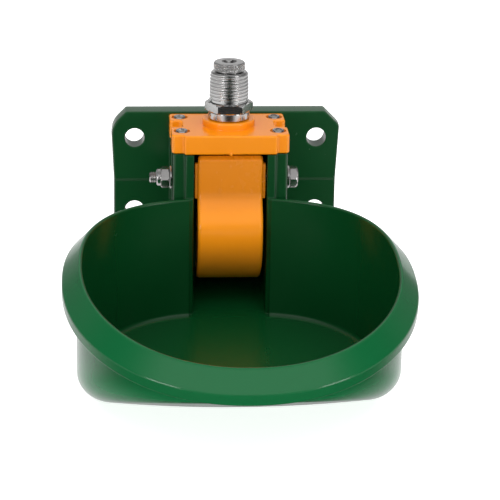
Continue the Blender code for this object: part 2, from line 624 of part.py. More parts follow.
def make_under_cover(steel, rubber):
    """The gasket and the locknut that hold the valve body in the cover."""
    top = COVER_SEAT_HEIGHT + COVER_POCKET_DEPTH - GAP
    low = top - GASKET_THICKNESS
    bore = SHANK_RADIUS + GAP
    gasket = [(bore, low), (GASKET_RADIUS, low), (GASKET_RADIUS, top), (bore, top)]
    place("cover_gasket", turned("cover_gasket", gasket, ring=True), rubber, (0, -VALVE_REACH, 0))
    top = low - GAP
    low = top - LOCKNUT_HEIGHT
    loops = [hexagon(LOCKNUT_ACROSS_FLATS, low), hexagon(LOCKNUT_ACROSS_FLATS, top), circle(bore, top),
             circle(bore, low)]
    place("body_locknut", lofted("body_locknut", loops, ring=True), steel, (0, -VALVE_REACH, 0))


def make_stem(steel, rubber, spring_finish):
    """The lifting stem with its seal, and the coil spring between its head and the strainer."""
    z = valve_levels()
    low = PIVOT_HEIGHT + SHELF_RISE + GAP
    axis = (0, -VALVE_REACH, 0)
    rod = [(STEM_RADIUS - STEM_TIP, low), (STEM_RADIUS, low + STEM_TIP), (STEM_RADIUS, z["head"]),
           (STEM_HEAD_RADIUS, z["head"]), (STEM_HEAD_RADIUS, z["head"] + STEM_HEAD_HEIGHT)]
    place("valve_stem", turned("valve_stem", rod, steps=SMALL_STEPS), steel, axis)
    bottom = z["seat"] + GAP
    hole = STEM_RADIUS + GAP
    seal = [(hole, bottom), (SEAL_RADIUS, bottom), (SEAL_RADIUS, bottom + SEAL_THICKNESS),
            (hole, bottom + SEAL_THICKNESS)]
    place("stem_seal", turned("stem_seal", seal, ring=True, steps=SMALL_STEPS), rubber, axis)
    start = z["head"] + STEM_HEAD_HEIGHT + SPRING_WIRE + GAP
    end = z["plug"] - GAP - STRAINER_THICKNESS - SPRING_WIRE - GAP
    turns = np.linspace(0, SPRING_TURNS, SPRING_TURNS * 14 + 1)
    curve = bpy.data.curves.new("valve_spring", "CURVE")
    curve.dimensions = "3D"
    curve.bevel_depth = SPRING_WIRE
    curve.bevel_resolution = 1
    curve.use_fill_caps = True
    spline = curve.splines.new("POLY")
    spline.points.add(len(turns) - 1)
    for point, turn in zip(spline.points, turns):
        angle = 2 * math.pi * turn
        height = start + (end - start) * turn / SPRING_TURNS
        point.co = (SPRING_RADIUS * math.cos(angle), SPRING_RADIUS * math.sin(angle), height, 1)
    place("valve_spring", curve, spring_finish, axis)


def make_hinge(steel, nylon):
    """The hinge bolt across the tower, from its head on the right to its locking nut on the left."""
    seat = COLUMN_HALF_WIDTH + GAP
    head = seat + WASHER_THICKNESS + GAP
    at = (0, -PIVOT_REACH, PIVOT_HEIGHT)
    across = (0, math.pi / 2, 0)
    end = -head - NUT_HEIGHT - NUT_COLLAR_HEIGHT - BOLT_END
    steps = 24
    bolt = [circle(BOLT_RADIUS - SINK, end, steps), circle(BOLT_RADIUS, end + SINK, steps),
            circle(BOLT_RADIUS, head, steps), hexagon(BOLT_HEAD_FLATS, head, steps),
            hexagon(BOLT_HEAD_FLATS, head + BOLT_HEAD_HEIGHT - SINK / 2, steps),
            circle(BOLT_HEAD_FLATS / 2 - GAP, head + BOLT_HEAD_HEIGHT, steps)]
    place("hinge_bolt", lofted("hinge_bolt", bolt), steel, at, across)
    bore = BOLT_RADIUS + GAP
    for side, hand in ((-1, "left"), (1, "right")):
        near, far = side * seat, side * (seat + WASHER_THICKNESS)
        washer = [(bore, near), (WASHER_RADIUS, near), (WASHER_RADIUS, far), (bore, far)]
        mesh = turned("hinge_washer", washer, ring=True, steps=steps)
        place("hinge_washer_" + hand, mesh, steel, at, across)
    near = -head
    collar = near - NUT_HEIGHT
    far = collar - NUT_COLLAR_HEIGHT
    slot = far + INSERT_THICKNESS + GAP
    nut = [hexagon(BOLT_HEAD_FLATS, near, steps), hexagon(BOLT_HEAD_FLATS, collar, steps),
           circle(NUT_COLLAR_RADIUS, collar, steps), circle(NUT_COLLAR_RADIUS, far, steps),
           circle(INSERT_RADIUS + GAP, far, steps), circle(INSERT_RADIUS + GAP, slot, steps),
           circle(bore, slot, steps), circle(bore, near, steps)]
    place("hinge_nut", lofted("hinge_nut", nut, ring=True), steel, at, across)
    insert = [(bore, slot - GAP), (INSERT_RADIUS, slot - GAP), (INSERT_RADIUS, far), (bore, far)]
    place("nut_insert", turned("nut_insert", insert, ring=True, steps=steps), nylon, at, across)


def nose_arc(inset):
    """The nose's side view about the pivot, brought in by the inset, and the middle of its arc."""
    front = PIVOT_REACH - PANEL_REACH
    centre = (front + NOSE_RADIUS * math.cos(NOSE_START_ANGLE),
              CREASE_HEIGHT - PIVOT_HEIGHT - NOSE_RADIUS * math.sin(NOSE_START_ANGLE))
    radius = NOSE_RADIUS - inset
    start = math.acos((centre[0] - front - inset) / radius)
    angles = np.linspace(start, NOSE_END_ANGLE, NOSE_STEPS + 1)
    return [(centre[0] - radius * math.cos(a), centre[1] + radius * math.sin(a)) for a in angles], centre


def paddle_side(inset):
    """The paddle's side view about its pivot: bevelled top, upright panel, crease and nose, with a back that
    stays where it is."""
    front = PIVOT_REACH - PANEL_REACH + inset
    top = PANEL_TOP_HEIGHT - PIVOT_HEIGHT - inset
    nose, centre = nose_arc(inset)
    lowest = nose_arc(0.0)[0][-1]
    back = PIVOT_REACH - PANEL_REACH + PANEL_DEPTH
    return [(front + PANEL_BEVEL, top), (front, top - PANEL_BEVEL), *nose,
            (lowest[0] + PADDLE_LIP, lowest[1] + PADDLE_EDGE), (lowest[0] + PADDLE_LIP, centre[1]),
            (back + NOSE_BACK_STEP, CREASE_HEIGHT - PIVOT_HEIGHT), (back, 0.0),
            (back, PANEL_TOP_HEIGHT - PIVOT_HEIGHT - PADDLE_EDGE)]


def make_paddle(finish, pivot):
    """The push paddle: an upright panel and a hollow rounded nose, with two ears, a hub on the bolt and a
    shelf behind that lifts the valve stem."""
    loops = []
    for side in (-1, 1):
        steps = range(EDGE_STEPS + 1) if side < 0 else range(EDGE_STEPS, -1, -1)
        for step in steps:
            angle = step / EDGE_STEPS * math.pi / 2
            across = side * (PANEL_HALF_WIDTH - PADDLE_EDGE * (1 - math.cos(angle)))
            loops.append([(across, y, z) for y, z in paddle_side(PADDLE_EDGE * (1 - math.sin(angle)))])
    paddle = place("paddle", lofted("paddle", loops, smooth_below=30), finish, parent=pivot)
    nose, centre = nose_arc(PADDLE_SKIN)
    end_y = nose[-1][0] + PADDLE_LIP + OVERRUN
    hollow = [*nose[1:], (end_y, nose[-1][1]), (end_y, nose[1][1])]
    inside = PANEL_HALF_WIDTH - PADDLE_SKIN
    join_or_cut(paddle, guide("paddle_hollow", prism("hollow", hollow, "X", -inside, inside),
                              parent=pivot), "DIFFERENCE")
    back = PIVOT_REACH - PANEL_REACH + PANEL_DEPTH
    ear_front = PIVOT_REACH - EAR_FRONT_REACH
    ear_back = ear_front + EAR_DEPTH
    ear = [(ear_front, -EAR_HALF_HEIGHT), (ear_back, -EAR_HALF_HEIGHT), (ear_back, EAR_HALF_HEIGHT),
           (ear_front, EAR_HALF_HEIGHT)]
    join_or_cut(paddle, guide("paddle_ears", prism("ears", ear, "X", -EAR_HALF_WIDTH, EAR_HALF_WIDTH),
                              parent=pivot), "UNION")
    quarter = math.pi / 2
    hub = [(back - SINK, -HUB_RADIUS + SINK / 2), *arc((0, 0), HUB_RADIUS, -quarter, quarter, 12),
           (back - SINK, HUB_RADIUS - SINK / 2)]
    half = EAR_HALF_WIDTH - GAP
    join_or_cut(paddle, guide("paddle_hub", prism("hub", hub, "X", -half, half), parent=pivot), "UNION")
    rise = SHELF_RISE
    reach = PIVOT_REACH - SHELF_REAR_REACH
    shelf = [(BOLT_RADIUS, rise - SHELF_THICKNESS), (reach, rise - SHELF_THICKNESS), (reach, rise),
             (BOLT_RADIUS, rise)]
    half = SHELF_HALF_WIDTH
    join_or_cut(paddle, guide("paddle_shelf", prism("shelf", shelf, "X", -half, half), parent=pivot), "UNION")
    bore = BOLT_RADIUS + RUNNING_GAP
    length = EAR_HALF_WIDTH + OVERRUN
    join_or_cut(paddle, guide("paddle_bore", turned("bore", [(bore, -length), (bore, length)], steps=20),
                              turn=(0, math.pi / 2, 0), parent=pivot), "DIFFERENCE")
    return paddle


def main():
    remove_objects()
    frame = bpy.data.objects.new("wall_frame", None)
    bpy.context.collection.objects.link(frame)
    frame.location = (0, 0, -HOLE_CENTRE_HEIGHT)
    pivot = bpy.data.objects.new("paddle_pivot", None)
    bpy.context.collection.objects.link(pivot)
    pivot.parent = frame
    pivot.location = (0, -PIVOT_REACH, PIVOT_HEIGHT)
    green = material("green_moulding", (0.006, 0.075, 0.028), 0.25)
    orange = material("orange_cover", (0.87, 0.2, 0.004), 0.25)
    paddle_orange = material("orange_paddle", (0.87, 0.2, 0.004), 0.25)
    steel = material("bright_steel", (0.62, 0.62, 0.62), 0.22, 1.0)
    stainless = material("stainless_fasteners", (0.55, 0.55, 0.55), 0.3, 1.0)
    spring = material("spring_steel", (0.5, 0.5, 0.5), 0.35, 1.0)
    rubber = material("black_rubber", (0.02, 0.02, 0.02), 0.7)
    nylon = material("nylon", (0.05, 0.12, 0.35), 0.4)
    make_bowl(green)
    make_cover(orange)
    make_screws(stainless)
    make_valve_body(steel)
    make_inlet_cap(steel)
    make_strainer(spring)
    make_under_cover(steel, rubber)
    make_stem(steel, rubber, spring)
    make_hinge(stainless, nylon)
    make_paddle(paddle_orange, pivot)


main()
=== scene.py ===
"""A wall-hung drinking bowl for livestock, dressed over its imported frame.

Everything is in metres in the frame's own axes: the wall is the plane Y = 0, the bowl reaches out to -Y,
and the origin is the middle of the four mounting holes.
"""

import math

import bmesh
import bpy
import numpy as np
from mathutils import Matrix, Vector


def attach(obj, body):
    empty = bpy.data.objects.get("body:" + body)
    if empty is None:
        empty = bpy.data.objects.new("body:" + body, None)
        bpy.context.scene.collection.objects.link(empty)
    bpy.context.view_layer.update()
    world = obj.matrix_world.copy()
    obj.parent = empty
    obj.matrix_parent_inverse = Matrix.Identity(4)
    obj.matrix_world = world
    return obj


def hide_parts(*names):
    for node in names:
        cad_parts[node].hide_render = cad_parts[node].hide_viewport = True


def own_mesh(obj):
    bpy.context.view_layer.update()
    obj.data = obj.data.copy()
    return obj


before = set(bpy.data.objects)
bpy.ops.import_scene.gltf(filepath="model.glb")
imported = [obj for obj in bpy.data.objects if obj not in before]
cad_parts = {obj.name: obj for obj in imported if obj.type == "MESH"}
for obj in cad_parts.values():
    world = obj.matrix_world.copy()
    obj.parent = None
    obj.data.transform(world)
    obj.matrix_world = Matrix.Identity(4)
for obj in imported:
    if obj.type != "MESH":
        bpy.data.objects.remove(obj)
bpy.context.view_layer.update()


# Camera. It stood about 1.2 m in front of the bowl, a little to the left, and looked down on it by some
# 19 degrees through a long lens. The small shift keeps the frame where the photograph has it.
def placed(name, data):
    """A new object in the scene."""
    thing = bpy.data.objects.new(name, data)
    bpy.context.collection.objects.link(thing)
    return thing


camera = placed("camera", bpy.data.cameras.new("camera"))
camera.data.lens = 169.8
camera.data.sensor_width = 36.0
camera.data.shift_x = 0.0098
camera.data.shift_y = 0.0138
camera.location = (-0.0788, -1.2222, 0.362)
aim, roll = Vector((-0.002, -0.193, 0.0139)), math.radians(0.96)
sight = (aim - camera.location).to_track_quat("-Z", "Y").to_matrix()
camera.rotation_euler = (sight @ Matrix.Rotation(roll, 3, "Z")).to_euler()
bpy.context.scene.camera = camera


# Bowl body. One glossy injection moulding in dark green plastic: a scoop-shaped bowl with a rolled lip that
# droops to the front, a wall plate with four holes, and a hollow tower between them that carries the valve.
# It hangs on the wall by the plate, and every other piece is fixed to it.
LOWEST = -0.082
REAR_SLOPE = 0.232
FRONT_SLOPE = 0.45
SLOPE_ROUNDING = 0.010
CROSS_RADIUS = 0.64
RIM_HALF_WIDTH = 0.0778
RIM_REAR = 0.0565
RIM_WIDEST = 0.1378
RIM_FRONT = 0.2218
REAR_POWER = 2.4
FRONT_POWER = 2.15
RIM_HEIGHT = 0.082
RIM_DROP = 0.0298
DROP_POWER = 1.75
LIP_REACH = 0.0093
LIP_HEIGHT = 0.0155
SKIRT = 0.0022
WALL = 0.003


def angles(count):
    """So many equal steps round a full turn."""
    return np.arange(count) * 2 * np.pi / count


def floor_height(x, y):
    """Height of the outer bottom above the lowest point: a hyperbola along Y, which is a plane that falls
    from the rear and one that rises to the front with a rounding between, plus a shallow parabola in X."""
    mean, turn = (REAR_SLOPE - FRONT_SLOPE) / 2, (REAR_SLOPE + FRONT_SLOPE) / 2
    along = y + RIM_WIDEST
    lowest = SLOPE_ROUNDING * math.sqrt(turn ** 2 - mean ** 2)
    slopes = mean * along + turn * np.sqrt(along ** 2 + SLOPE_ROUNDING ** 2)
    return slopes - lowest + x ** 2 / (2 * CROSS_RADIUS)


def rim_line():
    """The rim's inner edge as an oval of two superellipses, its height falling with a power of the reach.
    With it go, at each point, the directions outwards and upwards square to the rim's own slope, the outward
    one in plan, and a share that rises smoothly from 0 at the rear to 1 from the sides to the front."""
    turn = angles(288)
    cosine, sine = np.cos(turn), np.sin(turn)
    power = np.where(sine > 0, REAR_POWER, FRONT_POWER)
    reach = np.where(sine > 0, RIM_WIDEST - RIM_REAR, RIM_FRONT - RIM_WIDEST)
    x = RIM_HALF_WIDTH * np.sign(cosine) * np.abs(cosine) ** (2 / power)
    y = -RIM_WIDEST + reach * np.sign(sine) * np.abs(sine) ** (2 / power)
    length = RIM_FRONT - RIM_REAR
    share = np.clip((-y - RIM_REAR) / length, 0, 1)
    z = RIM_HEIGHT - RIM_DROP * share ** DROP_POWER
    tilt = np.arctan(RIM_DROP / length * DROP_POWER * share ** (DROP_POWER - 1))
    along = np.stack([np.roll(x, -1) - np.roll(x, 1), np.roll(y, -1) - np.roll(y, 1)], axis=1)
    along /= np.linalg.norm(along, axis=1, keepdims=True)
    plan_out = np.stack([along[:, 1], -along[:, 0]], axis=1)
    out = np.column_stack([plan_out[:, 0], plan_out[:, 1] * np.cos(tilt), plan_out[:, 1] * np.sin(tilt)])
    up = np.column_stack([np.zeros_like(tilt), -np.sin(tilt), np.cos(tilt)])
    side = np.clip((0.5 - sine) / 0.7, 0, 1)
    return np.column_stack([x, y, z]), out, up, plan_out, side ** 2 * (3 - 2 * side)


def basin_rows(wall_top, plan_out, side, rear_corner, side_corner, lift, draft):
    """Rows of one face of the bowl from the middle of its bottom to the wall's top: loops shrunk towards
    the middle, then a quarter circle from bottom to wall whose radius fits the room under the lip. The face
    lies so much above the outer bottom, and its wall leans in by the draft."""
    wall = wall_top[:, :2] - draft * plan_out
    room = wall_top[:, 2] - floor_height(*wall.T) - lift
    wanted = rear_corner + (side_corner - rear_corner) * side
    radius = (wanted ** -4 + (0.8 * room) ** -4) ** -0.25
    base = wall - radius[:, None] * plan_out
    middle = np.array([0, -RIM_WIDEST])
    shares = np.array([0.02, 0.05, 0.09, 0.14, 0.2, 0.28, 0.37, 0.47, 0.58, 0.7, 0.82, 0.92])
    plans = middle + shares[:, None, None] * (base - middle)
    bend = np.linspace(0, np.pi / 2, 12)[:, None]
    arcs = base + (wall - base) * np.sin(bend)[..., None]
    rise = np.concatenate([np.zeros((len(shares), 1)), 1 - np.cos(bend)]) * radius
    plans = np.concatenate([plans, arcs])
    heights = floor_height(plans[..., 0], plans[..., 1]) + lift + rise
    rows = np.concatenate([plans, heights[..., None]], axis=2)
    climb = np.linspace(0, 1, 7)[1:-1, None, None]
    return np.concatenate([rows, rows[-1] + (wall_top - rows[-1]) * climb])


def smoothed(mesh, below):
    """The mesh with its edges smooth where they turn by less than so many degrees."""
    mesh.shade_smooth()
    mesh.set_sharp_from_angle(angle=math.radians(below))
    return mesh


def surface(name, grid, ring=False, tips=None, smooth_below=35):
    """A mesh whose rows are closed loops of points, joined in order. A ring's last row meets its first;
    otherwise each end is one flat face, or a fan about its tip where tips are given."""
    grid = np.asarray(grid, float)
    rows, columns = grid.shape[:2]
    index = np.arange(rows * columns).reshape(rows, columns)
    low, high = (index, np.roll(index, -1, axis=0)) if ring else (index[:-1], index[1:])
    quads = np.stack([low, np.roll(low, -1, axis=1), np.roll(high, -1, axis=1), high], axis=-1)
    faces = quads.reshape(-1, 4).tolist()
    points = grid.reshape(-1, 3)
    if tips is not None:
        points = np.vstack([points, tips])
        for row, tip in ((index[0], rows * columns), (index[-1], rows * columns + 1)):
            faces += np.column_stack([row, np.roll(row, -1), np.full(columns, tip)]).tolist()
    elif not ring:
        faces += [index[0].tolist(), index[-1].tolist()]
    mesh = bpy.data.meshes.new(name)
    mesh.from_pydata(points.tolist(), [], faces)
    shell = bmesh.new()
    shell.from_mesh(mesh)
    bmesh.ops.recalc_face_normals(shell, faces=shell.faces)
    shell.to_mesh(mesh)
    shell.free()
    return smoothed(mesh, smooth_below)


def moved(mesh, at=(0, 0, 0), turn=None):
    """The mesh with its place, and a turn about an axis letter by degrees, worked into its points."""
    place = Matrix.Translation(at)
    if turn:
        place = place @ Matrix.Rotation(math.radians(turn[1]), 4, turn[0])
    mesh.transform(place)
    return mesh


def rounded(corners, radius, steps=6):
    """A closed outline with each corner rounded: every corner gives an arc of the radius, held to under
    half its shorter side, that touches both sides."""
    corners = np.asarray(corners, float)
    back, ahead = np.roll(corners, 1, axis=0) - corners, np.roll(corners, -1, axis=0) - corners
    back_length, ahead_length = np.linalg.norm(back, axis=1), np.linalg.norm(ahead, axis=1)
    back, ahead = back / back_length[:, None], ahead / ahead_length[:, None]
    half = np.arccos(np.clip(np.sum(back * ahead, axis=1), -1, 1)) / 2
    reach = np.minimum(np.broadcast_to(radius, half.shape) / np.tan(half),
                       0.46 * np.minimum(back_length, ahead_length))
    share = np.linspace(0, 1, steps + 1)[None, :, None]
    start, end = (corners + back * reach[:, None])[:, None], (corners + ahead * reach[:, None])[:, None]
    middle = corners[:, None]
    weight = np.sin(half)[:, None, None]
    top = (1 - share) ** 2 * start + 2 * weight * share * (1 - share) * middle + share ** 2 * end
    bottom = (1 - share) ** 2 + 2 * weight * share * (1 - share) + share ** 2
    return (top / bottom).reshape(-1, 2)


def rectangle(left, low, right, high):
    """The corners of an upright rectangle, anticlockwise."""
    return [(left, low), (right, low), (right, high), (left, high)]


def both_sides(half):
    """An outline from its right half, with the left half its mirror image."""
    return np.vstack([half, half[::-1] * (-1, 1)])


def slab(name, outline, low, high, edge=0.0, axis="Z", ridge=0.0):
    """An outline carried from low to high along an axis. Both end edges are quarter circles of the edge
    radius, and with a ridge the outline leans in by that much from the middle to either end."""
    outline = np.asarray(outline, float)
    area = np.sum(outline[:, 0] * np.roll(outline[:, 1], -1) - np.roll(outline[:, 0], -1) * outline[:, 1])
    outline = outline if area > 0 else outline[::-1]
    ahead, behind = np.roll(outline, -1, axis=0) - outline, outline - np.roll(outline, 1, axis=0)
    ahead = ahead / np.linalg.norm(ahead, axis=1, keepdims=True)
    behind = behind / np.linalg.norm(behind, axis=1, keepdims=True)
    mean = ahead + behind
    inward = np.stack([-mean[:, 1], mean[:, 0]], axis=1)
    inward *= 2 / np.sum(mean * mean, axis=1, keepdims=True)
    bend = np.linspace(0, np.pi / 2, 6) if edge else np.array([np.pi / 2])
    inset, rise = edge * (1 - np.sin(bend)), edge * (1 - np.cos(bend))
    levels = np.concatenate([low + rise, high - rise[::-1]])
    insets = np.concatenate([inset, inset[::-1]])
    if ridge:
        levels = np.insert(levels, len(bend), (low + high) / 2)
        insets = np.insert(insets + ridge, len(bend), 0.0)
    loops = outline + insets[:, None, None] * inward
    along = np.broadcast_to(levels[:, None, None], loops.shape[:2] + (1,))
    grid = np.concatenate([loops, along], axis=2)
    order = {"X": (2, 0, 1), "Y": (0, 2, 1), "Z": (0, 1, 2)}[axis]
    return surface(name, grid[..., order])


def revolved(turn, *parts):
    """Rows of points about Z at the angles given. Each part is a list of radius and height for plain
    circles, or a tuple with the radii by row and angle and the rows' heights."""
    parts = [part if isinstance(part, tuple) else (np.asarray(part)[:, :1], np.asarray(part)[:, 1])
             for part in parts]
    radius = np.concatenate([radius + 0 * turn for radius, _ in parts])
    level = np.concatenate([level for _, level in parts])[:, None] + 0 * turn
    return np.stack([radius * np.cos(turn), radius * np.sin(turn), level], axis=-1)


def turned(name, profile, columns=96, ring=False):
    """A turned shape from a profile of radius and height."""
    return surface(name, revolved(angles(columns), profile), ring=ring)


def joined(name, meshes):
    """Several meshes that don't meet, as one mesh."""
    whole = bmesh.new()
    for mesh in meshes:
        whole.from_mesh(mesh)
    result = bpy.data.meshes.new(name)
    whole.to_mesh(result)
    whole.free()
    return result


def shaped(mesh, *steps, smooth_below=35):
    """The mesh after a row of unions and cuts, each with another mesh, left as one clean mesh."""
    body = placed("shaping", mesh)
    tools = []
    for operation, other in steps:
        tools.append(placed("tool", other))
        modifier = body.modifiers.new("step", "BOOLEAN")
        modifier.operation = operation
        modifier.solver = "EXACT"
        modifier.object = tools[-1]
    graph = bpy.context.evaluated_depsgraph_get()
    result = bpy.data.meshes.new_from_object(body.evaluated_get(graph))
    for thing in (body, *tools):
        bpy.data.objects.remove(thing)
    shell = bmesh.new()
    shell.from_mesh(result)
    bmesh.ops.remove_doubles(shell, verts=shell.verts, dist=1e-6)
    bmesh.ops.dissolve_degenerate(shell, edges=shell.edges, dist=1e-6)
    shell.to_mesh(result)
    shell.free()
    return smoothed(result, smooth_below)


def piece(name, mesh, finish, body, node):
    """A finished piece of the object: it rides on a body and stands for the node named."""
    thing = placed(name, mesh)
    mesh.materials.clear()
    mesh.materials.append(finish)
    normals = thing.modifiers.new("flat faces stay flat", "WEIGHTED_NORMAL")
    normals.keep_sharp = True
    normals.weight = 60
    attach(thing, body)
    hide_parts(node)
    return thing


class Signal:
    """One output among a material's nodes. Arithmetic with numbers or other signals adds Math nodes."""

    def __init__(self, tree, socket=None):
        self.tree, self.socket = tree, socket

    def node(self, kind, settings=None, sockets=None, output=0):
        """Another node of the same material: its settings first, then its sockets' values or signals."""
        made = self.tree.nodes.new(kind)
        for name, value in (settings or {}).items():
            setattr(made, name, value)
        for name, value in (sockets or {}).items():
            if isinstance(value, Signal):
                self.tree.links.new(value.socket, made.inputs[name])
            else:
                made.inputs[name].default_value = value
        return Signal(self.tree, made.outputs[output])

    def math(self, operation, *values):
        """A Math node with these values or signals."""
        return self.node("ShaderNodeMath", {"operation": operation}, dict(enumerate(values)))

    def __add__(self, other):
        return self.math("ADD", self, other)

    def __sub__(self, other):
        return self.math("SUBTRACT", self, other)

    def __rsub__(self, other):
        return self.math("SUBTRACT", other, self)

    def __mul__(self, other):
        return self.math("MULTIPLY", self, other)

    def __pow__(self, other):
        return self.math("POWER", self, other)

    def __abs__(self):
        return self.math("ABSOLUTE", self)

    __radd__, __rmul__ = __add__, __mul__


def new_finish(name):
    """A material with its shader, and the Object coordinates that its patterns read."""
    finish = bpy.data.materials.new(name)
    finish.use_nodes = True
    tree = finish.node_tree
    shader = tree.nodes["Principled BSDF"]
    place = Signal(tree).node("ShaderNodeTexCoord", output="Object")
    return finish, shader, place


def feed(shader, name, signal):
    """A signal into one of the shader's inputs."""
    signal.tree.links.new(signal.socket, shader.inputs[name])


def emboss(shader, height, strength, distance, **others):
    """Fine relief in the shading, by a height signal."""
    relief = {"Strength": strength, "Distance": distance, "Height": height, **others}
    feed(shader, "Normal", height.node("ShaderNodeBump", {}, relief))


def noise(place, scale, detail, stretch=(1, 1, 1)):
    """A noise of some blobs to the metre, from 0 to 1, stretched along the axes."""
    vector = place.node("ShaderNodeMapping", {}, {"Vector": place, "Scale": stretch})
    return place.node("ShaderNodeTexNoise", {}, {"Vector": vector, "Scale": scale, "Detail": detail})


def axes(place, letters):
    """The place's coordinates along the axes named."""
    return [place.node("ShaderNodeSeparateXYZ", {}, {"Vector": place}, output=letter) for letter in letters]


def ramp(value, start, end, low=0.0, high=1.0):
    """A smooth step from low to high while the value goes from start to end."""
    return value.node("ShaderNodeMapRange", {"interpolation_type": "SMOOTHSTEP"},
                      {"Value": value, "From Min": start, "From Max": end, "To Min": low, "To Max": high})


def blend(factor, first, second):
    """A colour between two, by a factor from 0 to 1. Each is a signal, or red, green, blue and alpha."""
    return factor.node("ShaderNodeMix", {"data_type": "RGBA"}, {0: factor, 6: first, 7: second}, output=2)


def moulded_plastic(name, colour, deep, roughness, rounding, painted_light=None):
    """Glossy moulded plastic. Its colour drifts slowly between two tones of the same pigment, the gloss is
    broken by faint handling scuffs, and a slight ripple of the tool's surface bends the reflections. The
    moulding's edges and inner corners are softly rounded. A function may give painted light: how much
    lighter and glossier it is at each place, and the lighter colour that stands in for the light there."""
    finish, shader, place = new_finish(name)
    drift = noise(place, 22, 3)
    scuffs = noise(place, 260, 5, (1, 0.12, 1)) ** 3
    tone = blend(drift, deep, colour)
    gloss = roughness * 0.8 + roughness * drift * 0.5 + scuffs * 0.08
    # Painted light: a lighter colour blended in where more light is wanted.
    if painted_light:
        share, painted_lit_tone = painted_light(place)
        tone = blend(share, tone, painted_lit_tone)
        gloss = gloss + (1 - share) * 0.11
    feed(shader, "Base Color", tone)
    feed(shader, "Roughness", gloss)
    shader.inputs["IOR"].default_value = 1.5
    ripple = noise(place, 140, 2) * 0.7 + noise(place, 1500, 2) * 0.12
    soft = place.node("ShaderNodeBevel", {"samples": 6}, {"Radius": rounding})
    emboss(shader, ripple, 0.05, 0.001, Normal=soft)
    return finish


def painted_outside_light(place):
    """How much of the lighter tone the bowl shows, and that tone, both painted light: all of it where the
    surface faces away from the bowl's middle, on the lip and the outer wall, and none inside, on the tower or
    on the plate. The outer wall is lighter again low down: painted light bounced from the floor."""
    x, y, z = axes(place, "XYZ")
    facing = place.node("ShaderNodeNewGeometry", output="Normal")
    reach = place.node("ShaderNodeVectorMath", {"operation": "SUBTRACT"},
                       {0: place, 1: (0, -RIM_WIDEST, -0.02)})
    away = place.node("ShaderNodeVectorMath", {"operation": "DOT_PRODUCT"}, {0: facing, 1: reach},
                      output="Value")
    in_front = ramp(y, -0.056, -0.075)
    beside_tower = ramp(abs(x), 0.0305, 0.037) * ramp(y, -0.040, -0.046)
    # Painted light: the lighter tone covers the outside of the lip and the outer wall.
    share = ramp(away, -0.002, 0.008) * y.math("MAXIMUM", in_front, beside_tower)
    # Painted light bounced from the floor: lighter again low down on the outer wall.
    painted_floor_bounce = ramp(z, -0.044, -0.06)
    return share, blend(painted_floor_bounce, (0.005, 0.106, 0.032, 1), (0.007, 0.165, 0.055, 1))


# The green is lighter on the bowl's outside: painted light on the lip and outer wall.
green = moulded_plastic("green moulding", (0.0022, 0.056, 0.013, 1), (0.0016, 0.049, 0.011, 1), 0.12,
                        0.001, painted_outside_light)


def basin():
    """The bowl as one closed surface: outside from the middle of the bottom, round the lip, and back down
    inside. The lip's section, in millimetres outside and above the crest, is a line whose every corner is
    rounded: up behind the hollow lip, round its foot, up its face and over the shoulder to a flat band."""
    rim, out, up, plan_out, side = rim_line()

    def lip(profile):
        """Rows along the rim at so much outside and above its crest."""
        profile = np.asarray(profile)[:, None, :]
        return rim + profile[..., :1] * out + profile[..., 1:] * up

    outer_top = lip([(SKIRT, -LIP_HEIGHT)])[0]
    inner_top = lip([(SKIRT - WALL, -LIP_HEIGHT / 2)])[0]
    outside = basin_rows(outer_top, plan_out, side, rear_corner=0.006, side_corner=0.014, lift=0, draft=0)
    inside = basin_rows(inner_top, plan_out, side, rear_corner=0.0024, side_corner=0.009, lift=WALL,
                        draft=0.0015)
    skirt, inner, reach, foot = (1000 * size for size in (SKIRT, SKIRT - WALL, LIP_REACH, -LIP_HEIGHT))
    corners = [(skirt, foot), (skirt, -5.55), (6.7, -9.6), (6.7, foot), (reach, foot), (reach, -9.42),
               (0.62, 0.22), (inner, -0.3), (inner, foot / 2)]
    radii = (0.1, 1.2, 0.8, 0.9, 1.5, 2.1, 1.3, 0.7, 0.1)
    section = rounded(corners, radii, 8)[9:-9] / 1000
    rows = np.concatenate([outside, outer_top[None], lip(section), inner_top[None], inside[::-1]])
    middle = np.array([[0, -RIM_WIDEST, floor_height(0, -RIM_WIDEST) + lift] for lift in (0, WALL)])
    shift = np.array([0, 0, LOWEST])
    return surface("basin", rows + shift, tips=middle + shift)


TOWER_FRONT = 0.057
TOWER_SIDE = 0.0235
TOWER_FOOT = 0.068 + LOWEST
TOWER_TOP = 0.1052 + LOWEST
COLUMN_SIDE = 0.0298
COLUMN_SETBACK = 0.0025
FRONT_COLUMN = 0.0155
REAR_COLUMN = 0.0150
CHANNEL_SIDE = 0.019
CHANNEL_BACK = 0.012
PLATE_DEPTH = 0.012
PLATE_HOLE = (0.0485, 0.0201)
SCREW_SIDE = 0.025
SCREW_ROWS = (-0.04675, -0.0195)
HINGE = (0, -0.046, 0.0084)
HINGE_BORE = 0.0033


def tower_plan(grow=0.0, back=0.0):
    """The tower's plan, a block with a column at each corner, grown outwards by so much."""
    front = -(TOWER_FRONT + grow)
    side, column = TOWER_SIDE + grow, COLUMN_SIDE + grow
    notch_front, notch_back = -(TOWER_FRONT - COLUMN_SETBACK - FRONT_COLUMN), -(PLATE_DEPTH + REAR_COLUMN)
    half = np.array([(side, front), (side, front + COLUMN_SETBACK), (column, front + COLUMN_SETBACK),
                     (column, notch_front), (side, notch_front), (side, notch_back), (column, notch_back),
                     (column, back)])
    return both_sides(half)


def plate_face():
    """The plate from the front: square at the foot, flaring above its parting line to chamfered corners."""
    top, half, flare, chamfer = 0.0346, 0.0611, 0.0015, 0.008
    side = np.array([(half - flare, -top), (half - flare, -0.003), (half, top - chamfer),
                     (half - chamfer, top)])
    return both_sides(side)


